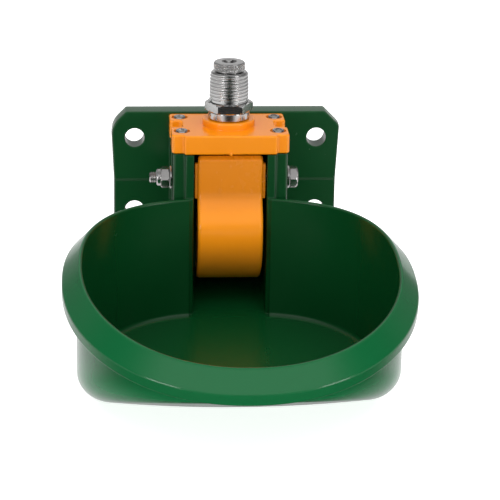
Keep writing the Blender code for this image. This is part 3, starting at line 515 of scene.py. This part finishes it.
def plate_hollow(side, level):
    """A hollow of the plate's back between its ribs, cut round by the tube of the mounting hole."""
    inner, outer, low, high = 0.006, 0.0566, 0.0012, 0.0316
    hole_side, hole_level = PLATE_HOLE
    tube = 0.0085
    turn = np.linspace(-math.acos((outer - hole_side) / tube), -math.pi, 20)
    ring = np.column_stack([hole_side + tube * np.cos(turn), hole_level + tube * np.sin(turn)])
    points = np.vstack([[(inner, low), (outer, low)], ring, [(hole_side - tube, high), (inner, high)]])
    return points * (side, level)


def channel_floor(y):
    """Height of the outer bottom under the channel's middle line."""
    return float(floor_height(0, y)) + LOWEST


def channel():
    """What the paddle's channel cuts away: a trough down to the bowl's floor, kept to a plan whose front
    corners are flared to quarter ellipses."""
    front, top, skim = -RIM_REAR - 0.005, TOWER_TOP + 0.002, 0.00015
    trough = slab("trough", [(front, channel_floor(front) + WALL + skim),
                             (-CHANNEL_BACK, channel_floor(-CHANNEL_BACK) + WALL + skim),
                             (-CHANNEL_BACK, top), (front, top)], -0.03, 0.03, 0, "X")
    mouth, flare, lead = -0.0566, 0.002, 0.0015
    bend = np.linspace(0, np.pi / 2, 12)
    plan = np.column_stack([CHANNEL_SIDE + flare * (1 - np.cos(bend)), mouth - lead * np.sin(bend)])
    plan = np.vstack([[(CHANNEL_SIDE, -CHANNEL_BACK)], plan, [(CHANNEL_SIDE + flare, front)]])
    return shaped(trough, ("INTERSECT", slab("mouth", both_sides(plan), -0.1, 0.1)))


def bowl_body():
    """The basin with the channel's housing, the tower and the plate joined to it, and every hollow and
    hole cut. A fine bead on the plate is the mould's parting line."""
    lap = 0.001
    front, back, top = -TOWER_FRONT + lap, -CHANNEL_BACK + WALL, TOWER_TOP - lap
    housing = rounded([(front, channel_floor(-TOWER_FRONT) + lap), (back, channel_floor(back) + lap),
                       (back, top), (front, top)], 0.0016)
    housing = slab("housing", housing, -CHANNEL_SIDE - WALL, CHANNEL_SIDE + WALL, 0.0005, "X")
    tower = slab("tower", rounded(tower_plan(back=-PLATE_DEPTH / 2), 0.0017), TOWER_FOOT, TOWER_TOP, 0.0004)
    plate = slab("plate", rounded(plate_face(), (0.002, 0.02, 0.0025, 0.0025) * 2), -PLATE_DEPTH, 0, 0.0006,
                 "Y", ridge=0.0003)
    bead = [(0.001, -0.0036), (-0.00005, -0.0034), (-0.0003, -0.0031), (-0.00005, -0.0026),
            (0.001, -0.0024)]
    bead = np.array(bead) - (PLATE_DEPTH, 0)
    beads = joined("beads", [slab("bead", bead, *ends, 0, "X") for ends in ((-0.0592, -0.029),
                                                                            (0.029, 0.0592))])
    rib = slab("rib", rectangle(-0.030, 0.0021, -0.011, 0.0061), -CHANNEL_SIDE - lap, CHANNEL_SIDE + lap,
               0, "X")
    cuts = []
    for side in (-1, 1):
        for high in (-1, 1):
            cuts.append(slab("hollow", plate_hollow(side, high), -PLATE_DEPTH + 0.0035, 0.002, 0, "Y"))
            hole = turned("hole", [(0.0052, -0.002), (0.0052, PLATE_DEPTH + 0.002)])
            cuts.append(moved(hole, (side * PLATE_HOLE[0], 0, high * PLATE_HOLE[1]), ("X", 90)))
        for y in SCREW_ROWS:
            pilot = turned("pilot", [(0.002, -0.0114), (0.002, 0.002)], 32)
            cuts.append(moved(pilot, (side * SCREW_SIDE, y, TOWER_TOP)))
    bore = moved(turned("bore", [(HINGE_BORE, -0.0318), (HINGE_BORE, 0.0318)], 48), HINGE, ("Y", 90))
    return shaped(basin(), ("UNION", housing), ("UNION", tower), ("UNION", plate), ("UNION", beads),
                  ("DIFFERENCE", channel()), ("DIFFERENCE", joined("cuts", cuts)), ("DIFFERENCE", bore),
                  ("UNION", rib))


piece("bowl_body_moulding", bowl_body(), green, "bowl", "bowl_body")


# Valve cover. An orange plastic moulding that closes the tower: a thick plate with four ears and a round
# boss in the middle. It is screwed down through the ears, and the steel valve body is clamped in its boss.
COVER_SEAT = 0.1055 + LOWEST
COVER_TOP = COVER_SEAT + 0.010
BOSS_TOP = COVER_TOP + 0.0036
VALVE_Y = -0.034
VALVE_BORE = 0.0083
orange = moulded_plastic("orange moulding", (0.92, 0.285, 0.006, 1), (0.86, 0.25, 0.004, 1), 0.16, 0.0007)


def at_valve(mesh, level=0):
    """A mesh made about Z, put on the valve's axis."""
    return moved(mesh, (0, VALVE_Y, level))


def valve_cover():
    """The cover's plate with its boss and the nub of its gate, less the locknut's pocket, the valve's bore
    and the screw seats."""
    back = -(PLATE_DEPTH + 0.0005)
    plate = slab("cover", rounded(tower_plan(0.0006, back), 0.0019), COVER_SEAT, COVER_TOP, 0.0009)
    height, side, edge = BOSS_TOP - COVER_SEAT, 0.0137, 0.0008
    bend = np.linspace(0, np.pi / 2, 6)
    shoulder = np.column_stack([side - edge * (1 - np.cos(bend)), height - edge * (1 - np.sin(bend))])
    boss = turned("boss", np.vstack([[(side, 0.009)], shoulder]))
    bore = turned("bore", [(VALVE_BORE, -0.002), (VALVE_BORE, height + 0.002)])
    pocket = rounded(rectangle(-0.018, -0.052, 0.018, -0.0175), 0.002)
    pocket = slab("pocket", pocket, COVER_SEAT - 0.002, COVER_SEAT + 0.0055)
    seats = []
    for x in (-SCREW_SIDE, SCREW_SIDE):
        for y in SCREW_ROWS:
            seat = turned("seat", [(0.002, -0.002), (0.002, 0.0086), (0.0042, 0.0086), (0.0042, 0.0105)], 48)
            seats.append(moved(seat, (x, y, COVER_SEAT)))
    nub = turned("nub", [(0.0009, -0.0002), (0.0009, 0.0006), (0.0006, 0.0009)], 24)
    nub = moved(nub, (0, -0.0574, COVER_SEAT + 0.0004), ("X", 90))
    return shaped(plate, ("UNION", at_valve(boss, COVER_SEAT)), ("UNION", nub),
                  ("DIFFERENCE", at_valve(bore, COVER_SEAT)), ("DIFFERENCE", pocket),
                  ("DIFFERENCE", joined("seats", seats)))


piece("valve_cover_moulding", valve_cover(), orange, "bowl", "valve_cover")


# Cover screws. Four stainless pan-head screws with cross recesses, driven down through the cover's ears
# into the tower's corner columns. Their heads sit in shallow round seats.
def bright_steel(name, colour, roughness, on_lathe=False):
    """Bright steel. The polish is uneven, a little grime and dulling lie in it in soft patches, and fine tool
    marks run round Z where it was turned on a lathe."""
    finish, shader, place = new_finish(name)
    shader.inputs["Metallic"].default_value = 1.0
    patch = noise(place, 90, 4)
    dull = [0.72 * part for part in colour]
    feed(shader, "Base Color", blend(patch ** 2, (*colour, 1), (*dull, 1)))
    marks = noise(place, 4000, 3, (0.02, 0.02, 1)) if on_lathe else noise(place, 900, 3)
    feed(shader, "Roughness", roughness * 0.7 + patch * roughness * 0.7 + marks * 0.06)
    emboss(shader, marks, 0.004, 0.0002)
    return finish


stainless = bright_steel("bright stainless", (0.62, 0.61, 0.60), 0.18)


def cover_screw():
    """A pan head over a plain shank. The head is a grid in radius and angle whose height is a dome less a
    cross: two slots with sloping ends, blended at their sides."""
    head, height = 0.0034, 0.0021
    slot_half_width, slot_reach, slot_depth = 0.15, 0.6, 0.0014
    brow = 0.72 + 0.28 * np.sin(np.linspace(0.1, 1, 9) * np.pi / 2)
    share = np.concatenate([np.linspace(0.02, 0.72, 22), brow])[:, None]
    turn = angles(96)
    x, y = share * head * np.cos(turn), share * head * np.sin(turn)
    dome = height * (1 - 0.12 * share ** 2) * np.sqrt(np.clip(1 - share ** 8, 0, 1)) ** 1.2
    dome = np.where(share > 0.999, height * 0.25, dome)
    across = np.minimum(np.abs(x), np.abs(y)) / head
    along = np.maximum(np.abs(x), np.abs(y)) / head
    slot = (1 / (1 + np.exp((across - slot_half_width) / 0.018))
            / (1 + np.exp((along - slot_reach) / 0.03)))
    z = dome - slot * slot_depth
    top = np.stack([x, y, z], axis=-1)[::-1]
    shank = revolved(turn, [(0.0003, -0.018), (0.0017, -0.0163), (0.0017, 0), (head, 0)])
    tips = [(0, 0, -0.0181), (0, 0, z[0].mean())]
    return surface("screw", np.concatenate([shank, top]), tips=tips, smooth_below=50)


for hand, x, degrees in (("left", -SCREW_SIDE, (20, 74)), ("right", SCREW_SIDE, (52, 38))):
    for end, y, turn in zip(("front", "rear"), SCREW_ROWS, degrees):
        name = f"cover_screw_{end}_{hand}"
        mesh = moved(cover_screw(), (x, y, COVER_TOP - 0.0011), ("Z", turn))
        piece(name + "_pan_head", mesh, stainless, "bowl", name)


# Valve body. A turned steel fitting: a round collar on the cover's boss, a 22 mm spanner hexagon above it
# and a tapered half-inch pipe thread for the water line. Its shank goes down through the cover.
COLLAR_FOOT = BOSS_TOP + 0.0003
HEX_FOOT = COLLAR_FOOT + 0.0038
HEX_HEIGHT = 0.0052
THREAD_FOOT = HEX_FOOT + HEX_HEIGHT
THREAD_TOP = THREAD_FOOT + 0.0157
SEAT = COVER_SEAT + 0.009
steel = bright_steel("bright turned steel", (0.70, 0.695, 0.69), 0.14, on_lathe=True)


def hexagon(turn, across, facing=-np.pi / 2):
    """A hexagon's radius at each angle, by its width across flats. One of its flats faces a given angle."""
    from_flat = np.mod(turn - facing + np.pi / 6, np.pi / 3) - np.pi / 6
    return across / 2 / np.cos(from_flat)


def pipe_thread(turn):
    """Radii and heights of a rounded triangle wave that climbs one pitch a turn on a cone, shallow at its
    ends, with a chamfer at its top."""
    pitch, depth, foot_radius, taper = 0.001814, 0.0008, 0.01066, 0.0008
    height = np.linspace(THREAD_FOOT + 0.0002, THREAD_TOP, 320)
    share = (height - THREAD_FOOT) / (THREAD_TOP - THREAD_FOOT)
    phase = np.mod(height[:, None] / pitch - turn / (2 * np.pi), 1)
    wave = np.clip(0.5 - 0.62 * np.cos(2 * np.pi * phase), 0, 1)
    fade = np.clip(share / 0.06, 0, 1) * np.clip((1 - share) / 0.05, 0.35, 1)
    thread = (foot_radius - taper * share)[:, None] - depth * (1 - wave) * fade[:, None]
    lead = np.clip((THREAD_TOP - height) / 0.0013, 0, 1)
    return np.minimum(thread, (0.0089 + 0.0013 * lead)[:, None]), height


def valve_body():
    """Rows of radius against angle up the fitting and down its bore. The hexagon is the nearer of its flats
    and a turned cone at either end."""
    turn, shank, flange, chamfer = angles(192), 0.008, 0.01095, 0.0018
    climb = np.linspace(0, 1, 14) * HEX_HEIGHT
    top_cone = 0.0127 - np.clip((climb - 0.0042) / 0.001, 0, 1) ** 1.6 * chamfer
    foot_cone = 0.0109 + np.clip(climb / 0.0008, 0, 1) ** 0.6 * chamfer
    spanner = np.minimum(hexagon(turn, 0.022), np.minimum(top_cone, foot_cone)[:, None])
    foot = COVER_SEAT - 0.0025
    collar = [(shank, foot), (shank, COLLAR_FOOT - 0.0001), (shank + 0.0001, COLLAR_FOOT),
              (0.0107, COLLAR_FOOT), (flange, COLLAR_FOOT + 0.0003), (flange, HEX_FOOT - 0.0003),
              (0.0108, HEX_FOOT - 0.0001)]
    neck = [(0.0107, THREAD_FOOT), (0.0097, THREAD_FOOT + 0.0001)]
    bore = [(0.0087, THREAD_TOP + 0.00002), (0.0066, THREAD_TOP), (0.0065, THREAD_TOP - 0.0003),
            (0.0065, SEAT + 0.0002), (0.0063, SEAT), (0.0037, SEAT), (0.0036, SEAT - 0.0002),
            (0.0036, foot)]
    grid = revolved(turn, collar, (spanner, HEX_FOOT + climb), neck, pipe_thread(turn), bore)
    return at_valve(surface("valve_body", grid, ring=True))


piece("valve_body_fitting", valve_body(), steel, "bowl", "valve_body")


# Inlet cap. A short steel plug with a diamond-knurled rim and a hexagonal way through it, screwed into the
# top of the valve body above the strainer.
CAP_FOOT = THREAD_TOP + 0.0003
CAP_TOP = CAP_FOOT + 0.0049
PLUG_FOOT = THREAD_TOP - 0.006


def inlet_cap():
    """Rows of radius against angle. The knurl is the product of two waves that climb opposite ways."""
    turn, ribs, pitch, depth = angles(480), 22, 0.0011, 0.00058
    level = np.linspace(CAP_FOOT + 0.0005, CAP_TOP - 0.0005, 36)
    climb = np.pi * (level[:, None] - CAP_FOOT) / pitch
    knurl = np.abs(np.sin(ribs * turn + climb) * np.sin(ribs * turn - climb))
    fade = np.clip(np.minimum(level - level[0], level[-1] - level) / 0.0003, 0, 1)
    rim = 0.0077 + depth * np.sqrt(knurl) * fade[:, None]
    socket = hexagon(turn, 0.0066)
    mouth = np.maximum(socket, 0.0037)
    under = [(0.0062, PLUG_FOOT), (0.0062, CAP_FOOT - 0.0001), (0.0064, CAP_FOOT), (0.0075, CAP_FOOT),
             (0.00785, CAP_FOOT + 0.0003)]
    over = [(0.00785, CAP_TOP - 0.0003), (0.0076, CAP_TOP - 0.00008), (0.0073, CAP_TOP)]
    way = (np.stack([mouth + 0.0003, mouth, socket, socket]),
           [CAP_TOP, CAP_TOP - 0.0003, CAP_TOP - 0.0009, PLUG_FOOT])
    return at_valve(surface("inlet_cap", revolved(turn, under, (rim, level), over, way), ring=True))


piece("inlet_cap_knurled", inlet_cap(), steel, "bowl", "inlet_cap")


# Strainer. A pressed stainless disc with seven holes, held under the inlet cap to keep grit off the seat.
def strainer():
    """A disc with its edges broken, less one hole in the middle and six round it."""
    top = PLUG_FOOT - 0.0003
    disc = turned("strainer", [(0.0060, top - 0.0012), (0.0062, top - 0.001), (0.0062, top - 0.0002),
                               (0.0060, top)])
    turn = angles(6)
    spots = np.vstack([[(0, 0)], 0.0034 * np.column_stack([np.cos(turn), np.sin(turn)])])
    holes = [moved(turned("hole", [(0.0011, top - 0.003), (0.0011, top + 0.002)], 24), (x, y, 0))
             for x, y in spots]
    return at_valve(shaped(disc, ("DIFFERENCE", joined("holes", holes))))


wire = bright_steel("drawn stainless", (0.55, 0.55, 0.56), 0.28)
piece("strainer_disc", strainer(), wire, "bowl", "strainer_screen")


# Gasket and locknut. A flat rubber ring seals the cover's pocket round the valve body, and a 22 mm steel
# locknut below it clamps the body to the cover.
def black_rubber(name):
    """Moulded rubber: near black, dull, with a fine grain and a bloom of grey dust."""
    finish, shader, place = new_finish(name)
    bloom = noise(place, 160, 5)
    feed(shader, "Base Color", blend(bloom, (0.012, 0.012, 0.013, 1), (0.035, 0.034, 0.033, 1)))
    grain = noise(place, 2600, 3)
    feed(shader, "Roughness", 0.55 + grain * 0.25)
    emboss(shader, grain, 0.2, 0.0002)
    return finish


rubber = black_rubber("black rubber")
GASKET_TOP = COVER_SEAT + 0.0052
NUT_TOP = GASKET_TOP - 0.0018
gasket = turned("gasket", [(VALVE_BORE, GASKET_TOP - 0.0014), (0.0084, GASKET_TOP - 0.0015),
                           (0.0113, GASKET_TOP - 0.0015), (0.0115, GASKET_TOP - 0.0013),
                           (0.0115, GASKET_TOP - 0.0002), (0.0113, GASKET_TOP), (0.0084, GASKET_TOP),
                           (VALVE_BORE, GASKET_TOP - 0.0001)], ring=True)
piece("cover_gasket_ring", at_valve(gasket), rubber, "bowl", "cover_gasket")


def locknut():
    """At each level the radius is the nearer of the flats and a turned cone."""
    turn, low, high, edge = angles(144), NUT_TOP - 0.005, NUT_TOP, 0.0003
    levels = NUT_TOP - np.array([0.005, 0.0047, 0.0043, 0.0007, 0.0003, 0])
    cone = np.array([0.0110, 0.0118, 0.0127, 0.0127, 0.0118, 0.0110])[:, None]
    bore = [(VALVE_BORE + edge, high), (VALVE_BORE, high - edge), (VALVE_BORE, low + edge),
            (VALVE_BORE + edge, low)]
    outside = np.minimum(hexagon(turn, 0.022), cone)
    return at_valve(surface("nut", revolved(turn, (outside, levels), bore), ring=True))


piece("body_locknut_hexagon", locknut(), steel, "bowl", "body_locknut")


# Valve stem, seal and spring. The steel stem stands on the paddle's shelf, its rubber seal closes the seat
# in the valve body, and a light coil spring above its head pushes it shut again.
SHELF_TOP = 0.0012
STEM_FOOT = HINGE[2] + SHELF_TOP + 0.0003
HEAD = SEAT + 0.0026
stem = turned("stem", [(0.0005, STEM_FOOT), (0.0012, STEM_FOOT + 0.0002), (0.0018, STEM_FOOT + 0.0007),
                       (0.002, STEM_FOOT + 0.0013), (0.002, HEAD - 0.0002), (0.0022, HEAD),
                       (0.0048, HEAD), (0.005, HEAD + 0.0002), (0.005, HEAD + 0.0027),
                       (0.0047, HEAD + 0.003)], 64)
piece("valve_stem_turned", at_valve(stem), steel, "stem", "valve_stem")

seal = turned("seal", [(0.0023, SEAT + 0.0004), (0.0024, SEAT + 0.0003), (0.0052, SEAT + 0.0003),
                       (0.0054, SEAT + 0.0005), (0.0054, SEAT + 0.0021), (0.0052, SEAT + 0.0023),
                       (0.0024, SEAT + 0.0023), (0.0023, SEAT + 0.0022)], 64, ring=True)
piece("stem_seal_disc", at_valve(seal), rubber, "stem", "stem_seal")


def tube(name, path, radius):
    """A round wire along a path: circles square to the path, carried along it without twist about Z."""
    along = np.gradient(path, axis=0)
    along /= np.linalg.norm(along, axis=1, keepdims=True)
    side = np.cross(along, [0, 0, 1.0])
    side /= np.linalg.norm(side, axis=1, keepdims=True)
    up = np.cross(side, along)
    turn = angles(14)[:, None]
    return surface(name, path[:, None] + radius * (side[:, None] * np.cos(turn) + up[:, None] * np.sin(turn)))


def valve_spring():
    """A helix whose end turns are closed up."""
    low, high, turns, radius = HEAD + 0.0037, PLUG_FOOT - 0.0022, 7, 0.0042
    share = np.linspace(0, 1, 420)
    climb = np.clip((share - 0.08) / 0.84, 0, 1)
    angle = 2 * np.pi * turns * share
    path = np.column_stack([radius * np.cos(angle), radius * np.sin(angle), low + (high - low) * climb])
    return at_valve(tube("spring", path, 0.0004))


spring = piece("valve_spring_coil", valve_spring(), wire, "stem", "valve_spring")
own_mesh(spring)


# Hinge bolt with its nut and washers. A stainless M6 hexagon bolt across the tower carries the paddle. Its
# head is on the right, and a nut with a nylon locking ring holds it on the left, each on a thin washer.
CHEEK = COLUMN_SIDE + 0.0003
BOLT_SEAT = CHEEK + 0.0015
BOLT_HEX = 0.010


def across_tower(mesh):
    """A mesh made about Z, with Z turned to X and its origin put on the hinge."""
    return moved(mesh, HINGE, ("Y", 90))


def hinge_bolt():
    """A shank with a rounded thread on its last 18 mm, and a head whose radius is the nearer of its flats
    and a turned cone."""
    turn, radius, pitch, depth = angles(144), 0.003, 0.001, 0.00055
    end = BOLT_SEAT - 0.0734
    run_out = end + 0.018
    level = np.linspace(end + 0.0001, run_out, 220)
    phase = np.mod(level[:, None] / pitch - turn / (2 * np.pi), 1)
    thread = radius - depth * (1 - np.clip(1.3 * np.abs(2 * phase - 1) - 0.1, 0, 1))
    thread = np.minimum(thread, 0.0022 + 0.0008 * np.clip((level - end) / 0.0008, 0, 1)[:, None])
    thread = radius - (radius - thread) * np.clip((run_out - level) / 0.001, 0, 1)[:, None]
    climb = np.array([0, 0.0002, 0.0026, 0.0031, 0.0035, 0.0038, 0.004, 0.00402])
    cone = np.array([0.0056, 0.0059, 0.0059, 0.0056, 0.0053, 0.0050, 0.0047, 0.0043])[:, None]
    head = np.minimum(hexagon(turn, BOLT_HEX, facing=0), cone)
    shank = [(radius, run_out + 0.0002), (radius, BOLT_SEAT)]
    dish = [(0.0036, BOLT_SEAT + 0.00402), (0.0033, BOLT_SEAT + 0.00385)]
    grid = revolved(turn, (thread, level), shank, (head, BOLT_SEAT + climb), dish)
    return across_tower(surface("bolt", grid))


def locking_nut():
    """A hexagon, a round collar, and the locking ring's seat in the collar's mouth."""
    turn = angles(144)
    outer = np.array([(0.0052, 0), (0.0059, 0.0004), (0.0059, 0.0036), (0.0052, 0.0041), (0.0046, 0.0043),
                      (0.0045, 0.0046), (0.0045, 0.0056), (0.0044, 0.0060), (0.0042, 0.0062)])
    inner = np.array([(0.0040, 0.0062), (0.0040, 0.0043), (HINGE_BORE, 0.0043), (HINGE_BORE, 0.0)])
    outside = np.minimum(hexagon(turn, BOLT_HEX, facing=0), outer[:, :1])
    grid = revolved(turn, (outside, -BOLT_SEAT - outer[:, 1]), (inner[:, :1], -BOLT_SEAT - inner[:, 1]))
    return across_tower(surface("nut", grid, ring=True))


def washer(side):
    """A thin ring with broken edges, on the left cheek for side -1 and on the right for 1."""
    low, high, edge = side * CHEEK, side * (CHEEK + 0.0012), 0.0002 * side
    rows = [(HINGE_BORE, low), (0.0058, low), (0.006, low + edge), (0.006, high - edge), (0.0058, high),
            (HINGE_BORE + 0.0001, high), (HINGE_BORE, high - edge)]
    return across_tower(turned("washer", rows, ring=True))


def nylon_finish(name):
    """Moulded nylon: milky, half matt, with a soft unevenness."""
    finish, shader, place = new_finish(name)
    cloud = noise(place, 300, 3)
    feed(shader, "Base Color", blend(cloud, (0.55, 0.56, 0.58, 1), (0.66, 0.67, 0.68, 1)))
    feed(shader, "Roughness", 0.35 + cloud * 0.2)
    return finish


piece("hinge_bolt_hexagon", hinge_bolt(), stainless, "bowl", "hinge_bolt")
piece("hinge_nut_hexagon", locking_nut(), stainless, "bowl", "hinge_nut")
piece("hinge_washer_left_ring", washer(-1), stainless, "bowl", "hinge_washer_left")
piece("hinge_washer_right_ring", washer(1), stainless, "bowl", "hinge_washer_right")
insert = turned("insert", [(HINGE_BORE, -BOLT_SEAT - 0.0047), (0.0039, -BOLT_SEAT - 0.0047),
                           (0.0039, -BOLT_SEAT - 0.0061), (0.0037, -BOLT_SEAT - 0.0063),
                           (0.0034, -BOLT_SEAT - 0.0062)], 72, ring=True)
piece("nut_insert_ring", across_tower(insert), nylon_finish("milky nylon"), "bowl", "nut_insert")


# Paddle. The orange plastic tongue that the animal pushes with its nose: a flat panel above, a hollow
# rounded nose below, two side ears and a hub on the hinge bolt, and a shelf behind that lifts the stem.
PANEL_SIDE = 0.0169
PANEL_FRONT = -0.010
PANEL_BACK = PANEL_FRONT + 0.0045
PANEL_TOP = 0.0138
PANEL_EDGE = 0.0018
CREASE = -0.0096
NOSE = 0.028


def painted_nose_light(place):
    """How much lighter the paddle is, and that tone: all of it below the crease, painted light on the nose.
    """
    z, = axes(place, "Z")
    return ramp(z, 0.003, -0.012), (1.0, 0.315, 0.008, 1)


# The paddle's orange is darker than the cover's: painted shade for the panel set back under the cover.
paddle_orange = moulded_plastic("orange paddle moulding", (0.80, 0.247, 0.005, 1), (0.74, 0.215, 0.004, 1),
                                0.14, 0.0007, painted_nose_light)


def nose_arc(inset, steps=64):
    """The nose's side view about the hinge, an arc that starts on the panel's front line at the crease, and
    the arc's centre."""
    slant = math.radians(45)
    centre = np.array([PANEL_FRONT + NOSE * math.cos(slant), CREASE - NOSE * math.sin(slant)])
    radius = NOSE - inset
    start = math.acos((centre[0] - PANEL_FRONT - inset) / radius)
    angle = np.linspace(start, math.radians(-78), steps)
    return centre + radius * np.column_stack([-np.cos(angle), np.sin(angle)]), centre


def paddle_side(inset):
    """The side view at one inset of its front: bevelled top, panel, a parabola through the crease, nose,
    and a back that stays."""
    nose, centre = nose_arc(inset)
    tip = nose_arc(0.0)[0][-1] + (0.0015, 0.0018)
    front, top, bevel = PANEL_FRONT + inset, PANEL_TOP - inset, 0.0022
    above = nose[0] + (0, 0.0045)
    panel = np.column_stack([np.full(10, front), np.linspace(top - bevel, above[1], 11)[:-1]])
    share = np.linspace(0, 1, 10)[:, None]
    crease = (1 - share) ** 2 * above + 2 * share * (1 - share) * nose[0] + share ** 2 * nose[5]
    back = [tip, (tip[0], centre[1]), (PANEL_BACK + 0.0015, CREASE), (PANEL_BACK, 0.0),
            (PANEL_BACK, PANEL_TOP - 0.0018)]
    return np.vstack([[(front + bevel, top)], panel, crease, nose[6:], back])


def paddle():
    """Rows of the side view from one flank to the other, the front edges rounded by a quarter circle, then
    hollowed from behind and joined to ears, hub and shelf."""
    bend = np.linspace(0, np.pi / 2, 9)
    flank, inset = PANEL_SIDE - PANEL_EDGE * (1 - np.cos(bend)), PANEL_EDGE * (1 - np.sin(bend))
    across, insets = np.concatenate([-flank, flank[::-1]]), np.concatenate([inset, inset[::-1]])
    sides = np.stack([paddle_side(depth) for depth in insets])
    along = np.broadcast_to(across[:, None, None], sides.shape[:2] + (1,))
    body = surface("paddle", np.concatenate([along, sides], axis=2), smooth_below=25)
    nose, _ = nose_arc(0.0026, 40)
    end = nose[-1, 0] + 0.0035
    hollow = np.vstack([nose[1:], [(end, nose[-1, 1]), (end, nose[1, 1])]])
    ear = rounded(rectangle(-0.0082, -0.0095, -0.0042, 0.0095), 0.0006)
    turn = np.linspace(-np.pi / 2, np.pi / 2, 32)
    root = PANEL_BACK - 0.001
    hub = np.vstack([[(root, -0.0055)], 0.006 * np.column_stack([np.cos(turn), np.sin(turn)]),
                     [(root, 0.0055)]])
    shelf = rounded(rectangle(0.003, -0.002, 0.0185, SHELF_TOP), 0.0006)
    bore = moved(turned("bore", [(HINGE_BORE, -0.0204), (HINGE_BORE, 0.0204)], 48), turn=("Y", 90))
    mesh = shaped(body, ("DIFFERENCE", slab("hollow", hollow, -0.0143, 0.0143, 0, "X")),
                  ("UNION", slab("ears", ear, -0.0184, 0.0184, 0.0005, "X")),
                  ("UNION", slab("hub", hub, -0.0181, 0.0181, 0, "X")),
                  ("UNION", slab("shelf", shelf, -0.012, 0.012, 0.0005, "X")), ("DIFFERENCE", bore),
                  smooth_below=28)
    return moved(mesh, HINGE)


piece("paddle_moulding", paddle(), paddle_orange, "paddle", "paddle")


# Studio. The floor and background are white to the camera. In reflections only the table behind and beside
# the bowl is white, and the room is bright behind and high in front. Soft lamps stand above the camera, over
# the bowl and low before it, and two small ones at the sides put the streaks on the lip.
def table_white(place):
    """How bright the table is in reflections, by the place on it: white behind the bowl's front and to
    either side, and dark in front of it."""
    x, y = axes(place, "XY")
    behind = ramp(y, -0.21, -0.1) * ramp(abs(x), 0.42, 0.12, 0.4, 1.0) * ramp(abs(x), 0.03, 0.08, 0.7, 1.0)
    return 0.03 + x.math("MAXIMUM", behind, ramp(abs(x), 0.13, 0.3) * 0.85)


def room_white(heading):
    """How bright the room is, by direction: half bright level and up behind the bowl, bright high above the
    camera, and dark elsewhere."""
    x, y, z = axes(heading, "XYZ")
    behind = ramp(y, -0.1, 0.5)
    soft_box = ramp(z, 0.15, 0.42) * ramp(z, 0.85, 0.5, 0.4, 1.0) * ramp(abs(x), 0.9, 0.6) * 0.72
    return 0.03 + behind * ramp(abs(x), 0.6, 0.28, 0.16, 0.5) + (1 - behind) * soft_box


def studio_floor_finish():
    """White to the camera, with a faint shadow. It glows softly on the bowl like a light table, and its
    reflections have their own white."""
    finish, shader, place = new_finish("studio floor")
    shader.inputs["Base Color"].default_value = (0.8, 0.8, 0.8, 1)
    shader.inputs["Roughness"].default_value = 1.0
    shader.inputs["Specular IOR Level"].default_value = 0.0
    shader.inputs["Emission Color"].default_value = (1, 1, 1, 1)
    seen = place.node("ShaderNodeLightPath", output="Is Camera Ray")
    mirrored = place.node("ShaderNodeLightPath", output="Is Glossy Ray")
    scattered = place.node("ShaderNodeLightPath", output="Is Diffuse Ray")
    feed(shader, "Emission Strength", seen * 0.84 + scattered * 0.45)
    room = place.node("ShaderNodeEmission", {}, {"Strength": table_white(place)})
    lit = Signal(finish.node_tree, shader.outputs["BSDF"])
    whole = place.node("ShaderNodeMixShader", {}, {0: mirrored, 1: lit, 2: room})
    output = finish.node_tree.nodes["Material Output"]
    finish.node_tree.links.new(whole.socket, output.inputs["Surface"])
    return finish


floor_mesh = bpy.data.meshes.new("floor")
spread = 4
floor_mesh.from_pydata([(x * spread, y * spread, LOWEST - 0.0006)
                        for x, y in ((-1, -1), (1, -1), (1, 1), (-1, 1))], [], [(0, 1, 2, 3)])
floor_mesh.materials.append(studio_floor_finish())
placed("studio_floor", floor_mesh)

world = bpy.data.worlds.new("studio")
bpy.context.scene.world = world
world.use_nodes = True
around = Signal(world.node_tree)
heading = around.node("ShaderNodeTexCoord", output="Generated")
seen = around.node("ShaderNodeLightPath", output="Is Camera Ray")
mirrored = around.node("ShaderNodeLightPath", output="Is Glossy Ray")
backdrop = world.node_tree.nodes["Background"]
backdrop.inputs["Color"].default_value = (1, 1, 1, 1)
ambient = 0.12
reflected = mirrored * (room_white(heading) - ambient) + ambient
feed(backdrop, "Strength", around.math("MAXIMUM", seen, reflected))


def lamp(name, at, size, power, mirrored=True):
    """A soft lamp aimed at the bowl. Where it isn't mirrored, only the room shows in the reflections."""
    light = bpy.data.lights.new(name, "AREA")
    light.shape = "RECTANGLE"
    light.size, light.size_y = size
    light.energy = power
    thing = placed(name, light)
    thing.visible_glossy = mirrored
    thing.location = at
    aim = Vector((0, -0.12, 0)) - thing.location
    thing.rotation_euler = aim.to_track_quat("-Z", "Y").to_euler()


lamp("lamp_key", (0, -1.4, 1.15), (2.2, 1.4), 10.5, mirrored=False)
lamp("lamp_above", (0, -0.2, 1.5), (3.0, 2.2), 34, mirrored=False)
lamp("lamp_low", (0, -1.5, 0.06), (1.8, 0.3), 3.6, mirrored=False)
lamp("lamp_left", (-1.2, -1.35, 0.2), (0.6, 0.36), 5.6)
lamp("lamp_right", (1.3, -1.25, 0.2), (0.6, 0.36), 5.0)

bpy.context.scene.view_settings.view_transform = "Standard"
